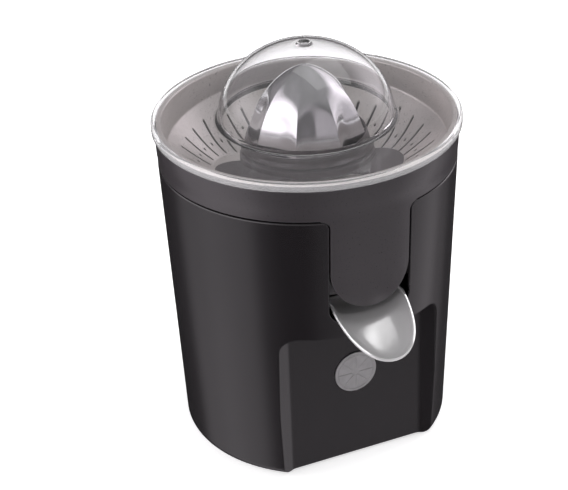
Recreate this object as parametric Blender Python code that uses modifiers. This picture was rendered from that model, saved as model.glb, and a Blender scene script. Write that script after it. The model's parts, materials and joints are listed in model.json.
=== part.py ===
"""Citrus press juicer: a tapered housing with a motor and gears inside, a juice collector with a tipping
spout, a slotted strainer, a ribbed reaming cone with a pulp sweeper, and a clear domed lid.

Metres, +Z up, front towards -Y, feet on Z = 0. The origin is at the bottom centre of the bounding box, so
the drive axis stands a little behind it. Every piece hangs from one empty on that axis.
"""

import math

import bmesh
import bpy
from mathutils import Matrix, Vector

MM = 0.001

# Whole object
RIM_RADIUS = 95 * MM
BASE_RADIUS = 85.4 * MM
BODY_HEIGHT = 214 * MM
STAND = 2 * MM
WALL = 2.5 * MM
GAP = 0.3 * MM
STEPS = 36

# Lid
LID_SHEET = 2 * MM
LIP_HEIGHT = 5.5 * MM
LIP_WIDTH = 2.2 * MM
NECK_CLEARANCE = 0.9 * MM
LID_ROOT = 3 * MM
DOME_RADIUS = 54 * MM
DOME_HEIGHT = 46.5 * MM
BRIM_DISH = 2 * MM
BOSS_RADIUS = 5.2 * MM
BOSS_HEIGHT = 1.2 * MM

# Strainer
SHEET = 0.8 * MM
STRAINER_CLEARANCE = 0.8 * MM
STRAINER_WALL_DEPTH = 20.6 * MM
FUNNEL_ANGLE = math.radians(40)
FUNNEL_INNER = 61 * MM
HUB_FOOT_RADIUS = 30 * MM
HUB_FOOT_DROP = 5 * MM
HUB_SIDE_RADIUS = 14.5 * MM
HUB_BORE = 11.6 * MM
HUB_REST = 1.5 * MM
SLOT_COUNT = 36
SLOT_WIDTH = 1.5 * MM
SLOT_INNER = 62 * MM
SLOT_OUTER = 80 * MM

# Cone and sweeper
CONE_RADIUS = 37.8 * MM
CONE_RISE = 31 * MM
CONE_DROP = 19.5 * MM
CONE_SHEET = 1.2 * MM
CONE_RIBS = 8
RIB_PHASE = math.radians(10.6)
FLUTE_DEPTH = 0.1
PIP_RADIUS = 1.6 * MM
PRESS = 2 * MM
SWEEPER_RADIUS = 40.3 * MM
SWEEPER_HEIGHT = 9 * MM
WING_COUNT = 3
WING_REACH = 64 * MM
WING_THICKNESS = 3 * MM
WING_PHASE = math.radians(186)
WING_RISE = math.radians(22)
WING_FALL = math.radians(48)
BLADE_DEPTH = 9 * MM
SWEEPER_SHEET = 3 * MM
CONE_CLEARANCE = 1 * MM
CONE_HUB_WALL = 3 * MM
SOCKET_CLEARANCE = 0.35 * MM

# Juice collector, outlet and spout
SEAM_DROP = 26.8 * MM
RING_INSET = 1.8 * MM
RING_WALL = 2.9 * MM
TONGUE_HALF_WIDTH = 25.4 * MM
TONGUE_DROP = 89 * MM
NOTCH_GAP = 0.6 * MM
NOTCH_CORNER = 4.5 * MM
BOWL_WALL = 2.2 * MM
BOWL_CLEARANCE = 1.5 * MM
BOWL_FLOOR_DROP = 84.2 * MM
FLOOR_FALL = 2.2 * MM
TUBE_DROP = 40 * MM
TUBE_WALL = 2 * MM
TUBE_CLEARANCE = 0.8 * MM
NOZZLE_RADIUS = 6.5 * MM
NOZZLE_BORE = 4.5 * MM
NOZZLE_Y = 72 * MM
SEAL_WALL = 2 * MM
SEAL_LENGTH = 5 * MM
SPOUT_HALF_WIDTH = 24 * MM
SPOUT_LENGTH = 43 * MM
SPOUT_TILT = math.radians(27)
SPOUT_DEPTH = 9.5 * MM
SPOUT_SHEET = 1 * MM
SPOUT_ROOT_Y = 82.7 * MM
SPOUT_RIM_DROP = 88 * MM
SPOUT_FACETS = 10
SPOUT_TIP_UP = math.radians(20)
PIN_Y = 63.5 * MM
PIN_RADIUS = 1.5 * MM
PIN_HEAD = 2.6 * MM
PIN_CLEARANCE = 0.05 * MM
EAR_RADIUS = 3.6 * MM
EAR_INSET = 1.2 * MM
EAR_THICKNESS = 1.6 * MM
LUG_WIDTH = 2.5 * MM
LUG_CLEARANCE = 1.2 * MM
LUG_HALF = 3 * MM

# Glass alcove at the front of the housing
ALCOVE_FACE_Y = 64 * MM
ALCOVE_HALF_WIDTH = 44 * MM
ALCOVE_TOP = 107.5 * MM
ALCOVE_CORNER = 11 * MM
ALCOVE_FLARE = 9.5 * MM
ALCOVE_SLOPE = 4.4 / 9
BADGE_RADIUS = 14 * MM
BADGE_THICKNESS = 0.8 * MM
BADGE_Z = 64 * MM

# Drive
SHAFT_RADIUS = 4 * MM
HEX_RADIUS = 5.2 * MM
HEX_LENGTH = 26 * MM
HEX_DROP = 14 * MM
RUNNING = 0.08 * MM
TOWER_RADIUS = 7.6 * MM
TOWER_DROP = 8 * MM
BUSH_RADIUS = 6 * MM
BUSH_LENGTH = 10 * MM
DECK = 2.5 * MM
DECK_LEDGE = 6 * MM
GEARBOX_Z = 80 * MM
GEARBOX_RADIUS = 48 * MM
GEARBOX_PLATE = 3 * MM
BUSH_SEAT = 4 * MM
PILLAR_ANGLES = (200, 320, 30)
PILLAR_INSET = 7 * MM
PILLAR_RADIUS = 4.5 * MM
PRESSURE_ANGLE = math.radians(20)
TOOTH_PLAY = 0.3 * MM
OUTPUT_MODULE = 1.2 * MM
OUTPUT_TEETH = 48
SMALL_TEETH = 12
FIRST_MODULE = 1.0 * MM
LARGE_TEETH = 40
PINION_TEETH = 10
GEAR_FACE = 6 * MM
AXLE_RADIUS = 2.5 * MM
SHAFT_FOOT_DROP = 6 * MM

# Motor: a flat U-shaped stator with its rotor standing between the tips of the legs
ROTOR_X = -24 * MM
ROTOR_Y = 38 * MM
ROTOR_RADIUS = 11 * MM
ROTOR_SHAFT_RADIUS = 2 * MM
AIR_GAP = 1 * MM
CORE_HEIGHT = 20 * MM
CORE_LENGTH = 92 * MM
CORE_WIDTH = 44 * MM
LEG_WIDTH = 14 * MM
CORE_BOTTOM = 53 * MM
COIL_BUILD = 6.5 * MM
COIL_LENGTH = 36 * MM
BRACKET = 4 * MM
BRACKET_HALF = 7 * MM
MOTOR_SCREW_INSET = 4.5 * MM

# Press mechanism below the shaft
CUP_RADIUS = 7 * MM
CUP_WALL = 2.2 * MM
CUP_FLOOR = 3.5 * MM
CUP_HEIGHT = 8 * MM
CUP_ARM = 2 * MM
SPRING_RADIUS = 5 * MM
SPRING_WIRE = 0.6 * MM
SPRING_TURNS = 4
CAGE_Z = 52 * MM
CAGE_PLATE = 3 * MM
SWITCH_Y = 17 * MM
SWITCH_HEIGHT = 11 * MM
BUTTON_RADIUS = 1.5 * MM

# Base
FILLET = 6 * MM
PLATE = 2.5 * MM
PLATE_RADIUS = 77.5 * MM
BOSS_CENTRE_RADIUS = 71.5 * MM
SCREW_BOSS_RADIUS = 4.5 * MM
BOSS_ANGLES = (38, 142, 218, 322)
SCREW_RADIUS = 1.5 * MM
SCREW_HEAD = 3 * MM
SCREW_HEAD_HEIGHT = 1.6 * MM
FOOT_RADIUS = 9 * MM
FOOT_CENTRE_RADIUS = 58 * MM
FOOT_ANGLES = (50, 130, 222, 318)
STEM_RADIUS = 2.5 * MM
GLAND_RADIUS = 5 * MM
GLAND_Z = 26 * MM

# Heights and radii that follow
TOP_Z = STAND + BODY_HEIGHT
SEAM_Z = TOP_Z - SEAM_DROP
SHOULDER_Z = TOP_Z - LIP_HEIGHT - GAP
RING_RADIUS = RIM_RADIUS - RING_INSET
RING_INNER = RING_RADIUS - RING_WALL
NECK_RADIUS = RIM_RADIUS - LIP_WIDTH - NECK_CLEARANCE
FLANGE_TOP_Z = TOP_Z - LID_SHEET - GAP
BOWL_FLOOR_Z = TOP_Z - BOWL_FLOOR_DROP
TUBE_TOP_Z = TOP_Z - TUBE_DROP
STRAINER_HUB_Z = TUBE_TOP_Z + HUB_REST
TOWER_TOP_Z = TUBE_TOP_Z - TOWER_DROP
HEX_TOP_Z = TOP_Z - HEX_DROP
CONE_BASE_Z = TOP_Z - CONE_DROP
DECK_Z = ALCOVE_TOP + WALL + GAP
NOTCH_BOTTOM = DECK_Z + DECK + GAP
LARGE_GEAR_Z = GEARBOX_Z + GEARBOX_PLATE + 2 * MM
OUTPUT_GEAR_Z = LARGE_GEAR_Z + GEAR_FACE + 4.5 * MM
SHAFT_FOOT_Z = GEARBOX_Z - SHAFT_FOOT_DROP
CUP_Z = SHAFT_FOOT_Z - GAP - CUP_FLOOR
PIN_Z = TOP_Z - SPOUT_RIM_DROP - 1 * MM
SPOUT_FLOOR_Z = TOP_Z - SPOUT_RIM_DROP - SPOUT_DEPTH
PLATE_Z = STAND + 0.2 * MM
NOTCH_HALF_WIDTH = TONGUE_HALF_WIDTH + NOTCH_GAP
OUTPUT_CENTRES = OUTPUT_MODULE * (OUTPUT_TEETH + SMALL_TEETH) / 2
FIRST_CENTRES = FIRST_MODULE * (LARGE_TEETH + PINION_TEETH) / 2
SPOUT_REACH = SPOUT_ROOT_Y + SPOUT_LENGTH * math.cos(SPOUT_TILT)
AXIS_Y = (SPOUT_REACH + SPOUT_SHEET - RIM_RADIUS) / 2

# The outlet sleeve ends just short of the trough, whose sides rise a little at the sleeve's edge
SEAL_RADIUS = NOZZLE_RADIUS + GAP + SEAL_WALL
OUTLET_Z = BOWL_FLOOR_Z + BOWL_WALL
TROUGH_RISE = SPOUT_DEPTH * (1 - math.sqrt(1 - (SEAL_RADIUS / (SPOUT_HALF_WIDTH - SPOUT_SHEET)) ** 2))
NOZZLE_TO_FLOOR = (PIN_Z - SPOUT_FLOOR_Z + (OUTLET_Z - PIN_Z) * math.cos(SPOUT_TIP_UP)
                   - (NOZZLE_Y - PIN_Y) * math.sin(SPOUT_TIP_UP))
SEAL_END = NOZZLE_TO_FLOOR - TROUGH_RISE - GAP
NOZZLE_LENGTH = SEAL_END - 2 * MM


def body_radius(z):
    """Outer radius of the tapered body at a height."""
    share = (z - STAND) / (SHOULDER_Z - STAND)
    return BASE_RADIUS + (RING_RADIUS - BASE_RADIUS) * share


# ---------------------------------------------------------------- scene and helpers

def clear_scene():
    for item in list(bpy.data.objects):
        bpy.data.objects.remove(item, do_unlink=True)


def new_collection(name):
    collection = bpy.data.collections.new(name)
    bpy.context.scene.collection.children.link(collection)
    return collection


def material(name, colour, roughness, metallic=0.0):
    made = bpy.data.materials.new(name)
    made.use_nodes = True
    shader = made.node_tree.nodes["Principled BSDF"]
    shader.inputs["Base Color"].default_value = (*colour, 1.0)
    shader.inputs["Roughness"].default_value = roughness
    shader.inputs["Metallic"].default_value = metallic
    return made


def add_object(name, mesh, paint=None):
    """Link a mesh: a painted one is a piece, an unpainted one is a cutter or a guide."""
    piece = bpy.data.objects.new(name, mesh)
    piece.parent = ROOT
    if paint is None:
        CUTTERS.objects.link(piece)
        piece.hide_render = True
        piece.display_type = "WIRE"
    else:
        PARTS.objects.link(piece)
        mesh.materials.append(paint)
    return piece


def mesh_from(builder):
    """Run a bmesh builder function and return its mesh."""
    work = bmesh.new()
    builder(work)
    mesh = bpy.data.meshes.new("shape")
    work.to_mesh(mesh)
    work.free()
    return mesh


def smooth(piece, angle=35):
    piece.data.shade_smooth()
    piece.data.set_sharp_from_angle(angle=math.radians(angle))


def turned(name, profile, paint=None, steps=STEPS, closed=True):
    """Turn a profile of (radius, height) points. It runs down the outer side and up the inner side."""
    def build(work):
        points = [work.verts.new((radius, 0, height)) for radius, height in profile]
        for first, second in zip(points, points[1:]):
            work.edges.new((first, second))
        if closed:
            work.edges.new((points[-1], points[0]))

    piece = add_object(name, mesh_from(build), paint)
    screw = piece.modifiers.new("turn", "SCREW")
    screw.axis = "Z"
    screw.steps = steps
    screw.render_steps = steps
    screw.use_merge_vertices = True
    screw.merge_threshold = 0.00001
    return piece


def box(name, low, high, paint=None):
    """A box between two corners."""
    centre = (Vector(low) + Vector(high)) / 2
    size = Vector(high) - Vector(low)

    def build(work):
        bmesh.ops.create_cube(work, size=1, matrix=Matrix.Translation(centre) @ Matrix.Diagonal((*size, 1)))

    return add_object(name, mesh_from(build), paint)


def rod(name, start, end, radius, paint=None, sides=24, end_radius=None):
    """A cylinder or a cone between two points."""
    start = Vector(start)
    run = Vector(end) - start
    place = Matrix.Translation(start + run / 2) @ run.to_track_quat("Z", "Y").to_matrix().to_4x4()

    def build(work):
        bmesh.ops.create_cone(work, cap_ends=True, segments=sides, radius1=radius,
                              radius2=radius if end_radius is None else end_radius,
                              depth=run.length, matrix=place)

    return add_object(name, mesh_from(build), paint)


def plate(name, outline, low, high, paint=None, plane="XY"):
    """A flat outline, extruded between two heights: along Z in plane XY, or along Y in plane XZ."""
    curve = bpy.data.curves.new(name, "CURVE")
    curve.dimensions = "2D"
    curve.fill_mode = "BOTH"
    curve.extrude = (high - low) / 2
    spline = curve.splines.new("POLY")
    spline.points.add(len(outline) - 1)
    for point, (across, along) in zip(spline.points, outline):
        point.co = (across, along, 0, 1)
    spline.use_cyclic_u = True
    guide = bpy.data.objects.new(name, curve)
    CUTTERS.objects.link(guide)
    if plane == "XZ":
        upright = Matrix.Rotation(math.pi / 2, 4, "X")
        guide.matrix_world = Matrix.Translation((0, (low + high) / 2, 0)) @ upright
    else:
        guide.matrix_world = Matrix.Translation((0, 0, (low + high) / 2))
    bpy.context.view_layer.update()
    mesh = bpy.data.meshes.new_from_object(guide.evaluated_get(bpy.context.evaluated_depsgraph_get()))
    place = guide.matrix_world.copy()
    bpy.data.objects.remove(guide)
    mesh.materials.clear()
    work = bmesh.new()
    work.from_mesh(mesh)
    bmesh.ops.remove_doubles(work, verts=work.verts, dist=0.000001)
    work.transform(place)
    work.to_mesh(mesh)
    work.free()
    return add_object(name, mesh, paint)


def combine(piece, other, operation):
    """Add a Boolean of another object, which becomes a guide."""
    change = piece.modifiers.new(operation.lower() + "_" + other.name, "BOOLEAN")
    change.operation = operation
    change.solver = "EXACT"
    change.object = other
    return piece


def cut(piece, *others):
    for other in others:
        combine(piece, other, "DIFFERENCE")
    return piece


def join(piece, *others):
    for other in others:
        combine(piece, other, "UNION")
    return piece


def polar(radius, angle, height=0.0):
    return (radius * math.cos(angle), radius * math.sin(angle), height)


def arc(centre, radius, start, end, count):
    """Points on an arc in the plane, from one angle in degrees to another."""
    points = []
    for index in range(count + 1):
        angle = math.radians(start + (end - start) * index / count)
        points.append((centre[0] + radius * math.cos(angle), centre[1] + radius * math.sin(angle)))
    return points


def move_origin(piece, x, y, z):
    """Put the origin of a moving piece on its joint's axis and leave its mesh where it is."""
    piece.data.transform(Matrix.Translation((-x, -y, -z)))
    piece.location = (x, y, z)


# ---------------------------------------------------------------- lid

def make_lid():
    """Clear cover: a dome on a slightly dished brim with a down-turned lip."""
    brim_inner = TOP_Z - BRIM_DISH
    dome = []
    for index in range(7):
        angle = math.radians(90 - 90 * index / 6)
        dome.append((DOME_RADIUS * math.cos(angle), brim_inner + DOME_HEIGHT * math.sin(angle)))
    inner = []
    for index in range(6):
        angle = math.radians(90 * (index + 0.25) / 6)
        inner.append(((DOME_RADIUS - LID_SHEET) * math.cos(angle),
                      brim_inner + (DOME_HEIGHT - LID_SHEET) * math.sin(angle)))
    inner.append((0, brim_inner + DOME_HEIGHT - LID_SHEET))
    dome = [(0, dome[0][1] + BOSS_HEIGHT), (BOSS_RADIUS - 1 * MM, dome[0][1] + BOSS_HEIGHT),
            (BOSS_RADIUS, dome[0][1])] + dome[1:]
    lip_inner = RIM_RADIUS - LIP_WIDTH
    profile = dome + [
        (DOME_RADIUS + LID_ROOT, brim_inner),
        (RIM_RADIUS - 1 * MM, TOP_Z),
        (RIM_RADIUS, TOP_Z - 1 * MM),
        (RIM_RADIUS, TOP_Z - LIP_HEIGHT),
        (lip_inner, TOP_Z - LIP_HEIGHT),
        (lip_inner, TOP_Z - LID_SHEET),
        (DOME_RADIUS + LID_ROOT, brim_inner - LID_SHEET),
        (DOME_RADIUS - LID_SHEET, brim_inner - LID_SHEET),
    ] + inner
    lid = turned("lid", profile, CLEAR, closed=False)
    smooth(lid)
    return lid


# ---------------------------------------------------------------- strainer

def funnel_height(radius):
    """Upper face of the strainer's funnel at a radius."""
    return TOP_Z - STRAINER_WALL_DEPTH - (strainer_radius() - radius) * math.tan(FUNNEL_ANGLE)


def strainer_radius():
    """Inner radius of the strainer's wall, which hangs inside the collector's ring."""
    return RING_INNER - STRAINER_CLEARANCE - SHEET - 1 * MM


def make_strainer():
    """Pressed basket: a flange under the lid, a wall, a slotted funnel and a hub over the tube."""
    wall = strainer_radius()
    flange_top = FLANGE_TOP_Z
    flange_outer = NECK_RADIUS
    corner_z = TOP_Z - STRAINER_WALL_DEPTH
    inner_z = funnel_height(FUNNEL_INNER)
    hub_foot = (HUB_FOOT_RADIUS, inner_z - HUB_FOOT_DROP)
    hub_top_z = STRAINER_HUB_Z
    hub_side = (HUB_SIDE_RADIUS, hub_top_z - 1 * MM)
    profile = [
        (flange_outer, flange_top),
        (flange_outer, flange_top - SHEET),
        (wall + SHEET + 1 * MM, flange_top - SHEET),
        (wall + SHEET, corner_z - SHEET / 2),
        (FUNNEL_INNER + SHEET / 2, inner_z - SHEET),
        (hub_foot[0], hub_foot[1] - SHEET),
        (hub_side[0] - SHEET, hub_side[1] - SHEET),
        (HUB_BORE, hub_top_z - SHEET),
        (HUB_BORE, hub_top_z),
        (hub_side[0], hub_top_z),
        (hub_foot[0] + SHEET, hub_foot[1]),
        (FUNNEL_INNER, inner_z),
        (wall, corner_z),
        (wall + 1 * MM, flange_top),
    ]
    strainer = turned("strainer", profile, STEEL)
    cut(strainer, slot_cutter())
    smooth(strainer)
    return strainer


def slot_cutter():
    """One cutter for all the radial slots of the funnel."""
    low = funnel_height(SLOT_INNER) - 6 * MM
    high = funnel_height(SLOT_OUTER) + 3 * MM

    def build(work):
        length = SLOT_OUTER - SLOT_INNER
        shape = Matrix.Translation(((SLOT_INNER + SLOT_OUTER) / 2, 0, (low + high) / 2))
        shape = shape @ Matrix.Diagonal((length, SLOT_WIDTH, high - low, 1))
        for index in range(SLOT_COUNT):
            turn = Matrix.Rotation(2 * math.pi * index / SLOT_COUNT, 4, "Z")
            bmesh.ops.create_cube(work, size=1, matrix=turn @ shape)

    return add_object("slot_cutter", mesh_from(build))


# ---------------------------------------------------------------- cone and sweeper

def cone_radius(height):
    """Radius over the ribs at a height above the lower edge, as a rounded cone."""
    full = CONE_RISE + CONE_DROP
    share = min(max(height / full, 0.0), 1.0)
    straight = CONE_RADIUS * (1 - 0.45 * share)
    return straight * (1 - share ** 5) ** 0.62


def make_cone():
    """Polished shell with concave flutes between its ribs and a small pip at the tip."""
    base = CONE_BASE_Z
    full = CONE_RISE + CONE_DROP
    rows = 8
    per_rib = 4
    around = CONE_RIBS * per_rib

    def flute(index, share):
        position = (index % per_rib) / per_rib
        depth = FLUTE_DEPTH * math.sin(math.pi * min(share * 1.15 + 0.12, 1.0))
        return 1 - depth * math.sin(math.pi * position)

    def build(work):
        rings = []
        for row in range(rows):
            share = 1 - (1 - row / rows) ** 1.5
            ring = []
            for index in range(around):
                angle = RIB_PHASE + 2 * math.pi * index / around
                radius = max(cone_radius(share * full) * flute(index, share), PIP_RADIUS)
                ring.append(work.verts.new(polar(radius, angle, base + share * full)))
            rings.append(ring)
        pip = [work.verts.new(polar(PIP_RADIUS, RIB_PHASE + 2 * math.pi * index / around, base + full))
               for index in range(around)]
        rings.append(pip)
        for lower, upper in zip(rings, rings[1:]):
            for index in range(around):
                after = (index + 1) % around
                work.faces.new((lower[index], lower[after], upper[after], upper[index]))
        work.faces.new(pip)

    cone = add_object("reaming_cone", mesh_from(build), POLISHED)
    shell = cone.modifiers.new("sheet", "SOLIDIFY")
    shell.thickness = CONE_SHEET
    shell.offset = -1
    smooth(cone, 25)
    move_origin(cone, 0, 0, base)
    return cone


def hex_outline(radius):
    return [polar(radius, math.radians(60 * side))[:2] for side in range(6)]


def make_cone_hub():
    """Moulded core inside the cone: a hexagonal socket for the shaft and ribs that stiffen the shell."""
    low = CONE_BASE_Z + 1 * MM
    high = TOP_Z + 8 * MM
    hub = rod("cone_hub", (0, 0, low), (0, 0, high), HEX_RADIUS + CONE_HUB_WALL, DARK)
    for side in range(4):
        rib = box("hub_rib_%d" % side, (HEX_RADIUS, -0.8 * MM, low + 12 * MM),
                  (CONE_RADIUS * 0.53, 0.8 * MM, high - 4 * MM))
        rib.rotation_euler.z = math.pi / 2 * side
        join(hub, rib)
    socket = plate("hub_socket", hex_outline(HEX_RADIUS + SOCKET_CLEARANCE), low - 1 * MM, HEX_TOP_Z + GAP)
    cut(hub, socket)
    move_origin(hub, 0, 0, low)
    return hub


def wing_radius(angle):
    """Outline of one wing: a quick rise to its tip and a slow fall behind it."""
    if angle < 0:
        share = 1 + angle / WING_RISE
    else:
        share = 1 - angle / WING_FALL
    if share <= 0:
        return SWEEPER_RADIUS
    return SWEEPER_RADIUS + (WING_REACH - SWEEPER_RADIUS) * math.sin(share * math.pi / 2)


def make_sweeper():
    """Collar under the cone with three wings, each with a blade that hangs into the funnel."""
    high = CONE_BASE_Z - PRESS - CONE_CLEARANCE
    low = high - SWEEPER_HEIGHT
    under = high - SWEEPER_SHEET
    tube = HUB_BORE + 4.5 * MM
    bore = HEX_RADIUS + 4 * MM
    rest = STRAINER_HUB_Z + GAP
    profile = [
        (SWEEPER_RADIUS - 1 * MM, high),
        (SWEEPER_RADIUS, high - 1 * MM),
        (SWEEPER_RADIUS + 0.8 * MM, low),
        (SWEEPER_RADIUS - 2 * MM, low),
        (SWEEPER_RADIUS - 2.4 * MM, under),
        (tube, under),
        (tube, rest),
        (bore, rest),
        (bore, high),
    ]
    sweeper = turned("pulp_sweeper", profile, DARK)
    outline = []
    count = 60
    for index in range(count):
        angle = 2 * math.pi * index / count
        spacing = 2 * math.pi / WING_COUNT
        relative = (angle - WING_PHASE + spacing / 2) % spacing - spacing / 2
        radius = wing_radius(relative)
        if radius > SWEEPER_RADIUS + 0.1 * MM:
            outline.append(polar(radius, angle)[:2])
        else:
            outline.append(polar(SWEEPER_RADIUS - 1.2 * MM, angle)[:2])
    wings = plate("wing_plate", outline, low + 0.6 * MM, low + 0.6 * MM + WING_THICKNESS)
    inside = rod("wing_opening", (0, 0, low - 1 * MM), (0, 0, high), SWEEPER_RADIUS - 1.4 * MM, sides=STEPS)
    cut(wings, inside)
    join(sweeper, wings)
    for index in range(WING_COUNT):
        angle = WING_PHASE + 2 * math.pi * index / WING_COUNT + math.radians(4)
        blade = box("blade_%d" % index, (SWEEPER_RADIUS - 1.6 * MM, -1 * MM, low - BLADE_DEPTH),
                    (WING_REACH - 3 * MM, 1 * MM, low + 1.6 * MM))
        blade.rotation_euler.z = angle
        join(sweeper, blade)
    move_origin(sweeper, 0, 0, low)
    return sweeper


# ---------------------------------------------------------------- juice collector and spout

def opening_outline(half_width, bottom, end_height, corner, top):
    """Outline of the notch or the tongue: flared at the seam, straight sides and a round end."""
    left = [(-half_width - corner, top), (-half_width - corner, SEAM_Z)]
    left += arc((-half_width - corner, SEAM_Z - corner), corner, 90, 0, 3)[1:]
    end = [(across, bottom + end_height * (1 + along / half_width))
           for across, along in arc((0, 0), half_width, 180, 360, 12)]
    right = [(-across, along) for across, along in reversed(left)]
    return left + end + right


def make_collector():
    """Bowl with a central tube, a ring that shows above the seam, and a tongue in the front notch."""
    neck_top = FLANGE_TOP_Z - SHEET - GAP
    bowl_outer = body_radius(BOWL_FLOOR_Z) - WALL - BOWL_CLEARANCE
    bowl_inner = bowl_outer - BOWL_WALL
    tube_inner = TOWER_RADIUS + TUBE_CLEARANCE
    tube_outer = tube_inner + TUBE_WALL
    skirt_bottom = TOP_Z - TONGUE_DROP
    gutter = NOZZLE_Y + 2 * MM
    profile = [
        (NECK_RADIUS, neck_top),
        (NECK_RADIUS, SHOULDER_Z),
        (RING_RADIUS, SHOULDER_Z),
        (body_radius(skirt_bottom), skirt_bottom),
        (body_radius(skirt_bottom) - WALL, skirt_bottom),
        (body_radius(SEAM_Z) - WALL, SEAM_Z - BOWL_WALL),
        (bowl_outer, SEAM_Z - BOWL_WALL),
        (bowl_outer - 0.5 * MM, BOWL_FLOOR_Z + 8 * MM),
        (bowl_outer - 4.5 * MM, BOWL_FLOOR_Z + FLOOR_FALL),
        (gutter, BOWL_FLOOR_Z),
        (tube_inner, BOWL_FLOOR_Z + FLOOR_FALL),
        (tube_inner, TUBE_TOP_Z),
        (tube_outer, TUBE_TOP_Z),
        (tube_outer, OUTLET_Z + FLOOR_FALL),
        (gutter, OUTLET_Z),
        (bowl_inner - 2.7 * MM, OUTLET_Z + FLOOR_FALL),
        (bowl_inner - 0.3 * MM, BOWL_FLOOR_Z + 9 * MM),
        (bowl_inner, SEAM_Z - 1.7 * MM),
        (RING_INNER, SEAM_Z + 4 * MM),
        (RING_INNER, neck_top),
    ]
    collector = turned("juice_collector", profile, DARK)
    away = turned("skirt_cutter", [
        (RIM_RADIUS + 5 * MM, SEAM_Z + GAP),
        (RIM_RADIUS + 5 * MM, skirt_bottom - 5 * MM),
        (bowl_outer + 0.4 * MM, skirt_bottom - 5 * MM),
        (bowl_outer + 0.4 * MM, SEAM_Z + GAP),
    ])
    outline = opening_outline(TONGUE_HALF_WIDTH, skirt_bottom, TONGUE_HALF_WIDTH, NOTCH_CORNER + NOTCH_GAP,
                              SEAM_Z + 8 * MM)
    tongue = plate("tongue_outline", outline, -RIM_RADIUS - 10 * MM, -bowl_outer * 0.5, plane="XZ")
    cut(away, tongue)
    cut(collector, away)
    axis = nozzle_axis()
    start = Vector((0, -NOZZLE_Y, OUTLET_Z))
    nozzle = rod("nozzle", start + axis * 0.8 * MM, start + axis * NOZZLE_LENGTH, NOZZLE_RADIUS)
    bore = rod("nozzle_bore", start - axis * 6 * MM, start + axis * (NOZZLE_LENGTH + 2 * MM), NOZZLE_BORE)
    join(collector, nozzle)
    cut(collector, bore)
    for side in (-1, 1):
        middle = side * (SPOUT_HALF_WIDTH - EAR_INSET - EAR_THICKNESS - LUG_CLEARANCE - LUG_WIDTH / 2)
        lug = box("spout_lug_%d" % side, (middle - LUG_WIDTH / 2, -PIN_Y - LUG_HALF, PIN_Z - LUG_HALF),
                  (middle + LUG_WIDTH / 2, -PIN_Y + LUG_HALF, BOWL_FLOOR_Z + 1.2 * MM))
        join(collector, lug)
    pin_hole = rod("lug_hole", (-SPOUT_HALF_WIDTH, -PIN_Y, PIN_Z), (SPOUT_HALF_WIDTH, -PIN_Y, PIN_Z),
                   PIN_RADIUS + PIN_CLEARANCE, sides=16)
    cut(collector, pin_hole)
    smooth(collector)
    return collector


def nozzle_axis():
    """The nozzle leans forward, square to the spout's floor when the spout is tipped up."""
    return Vector((0, -math.sin(SPOUT_TIP_UP), -math.cos(SPOUT_TIP_UP)))


def make_outlet_seal():
    """Rubber sleeve round the nozzle: the tipped-up spout closes against its end."""
    axis = nozzle_axis()
    start = Vector((0, -NOZZLE_Y, OUTLET_Z))
    end = start + axis * SEAL_END
    seal = rod("outlet_seal", end - axis * SEAL_LENGTH, end, SEAL_RADIUS, RUBBER)
    hollow = rod("seal_hollow", end - axis * (SEAL_LENGTH + 1 * MM), start + axis * (NOZZLE_LENGTH + GAP),
                 NOZZLE_RADIUS + GAP)
    mouth = rod("seal_mouth", end - axis * SEAL_LENGTH, end + axis * 1 * MM, NOZZLE_BORE + 0.6 * MM)
    cut(seal, hollow, mouth)
    return seal


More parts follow.
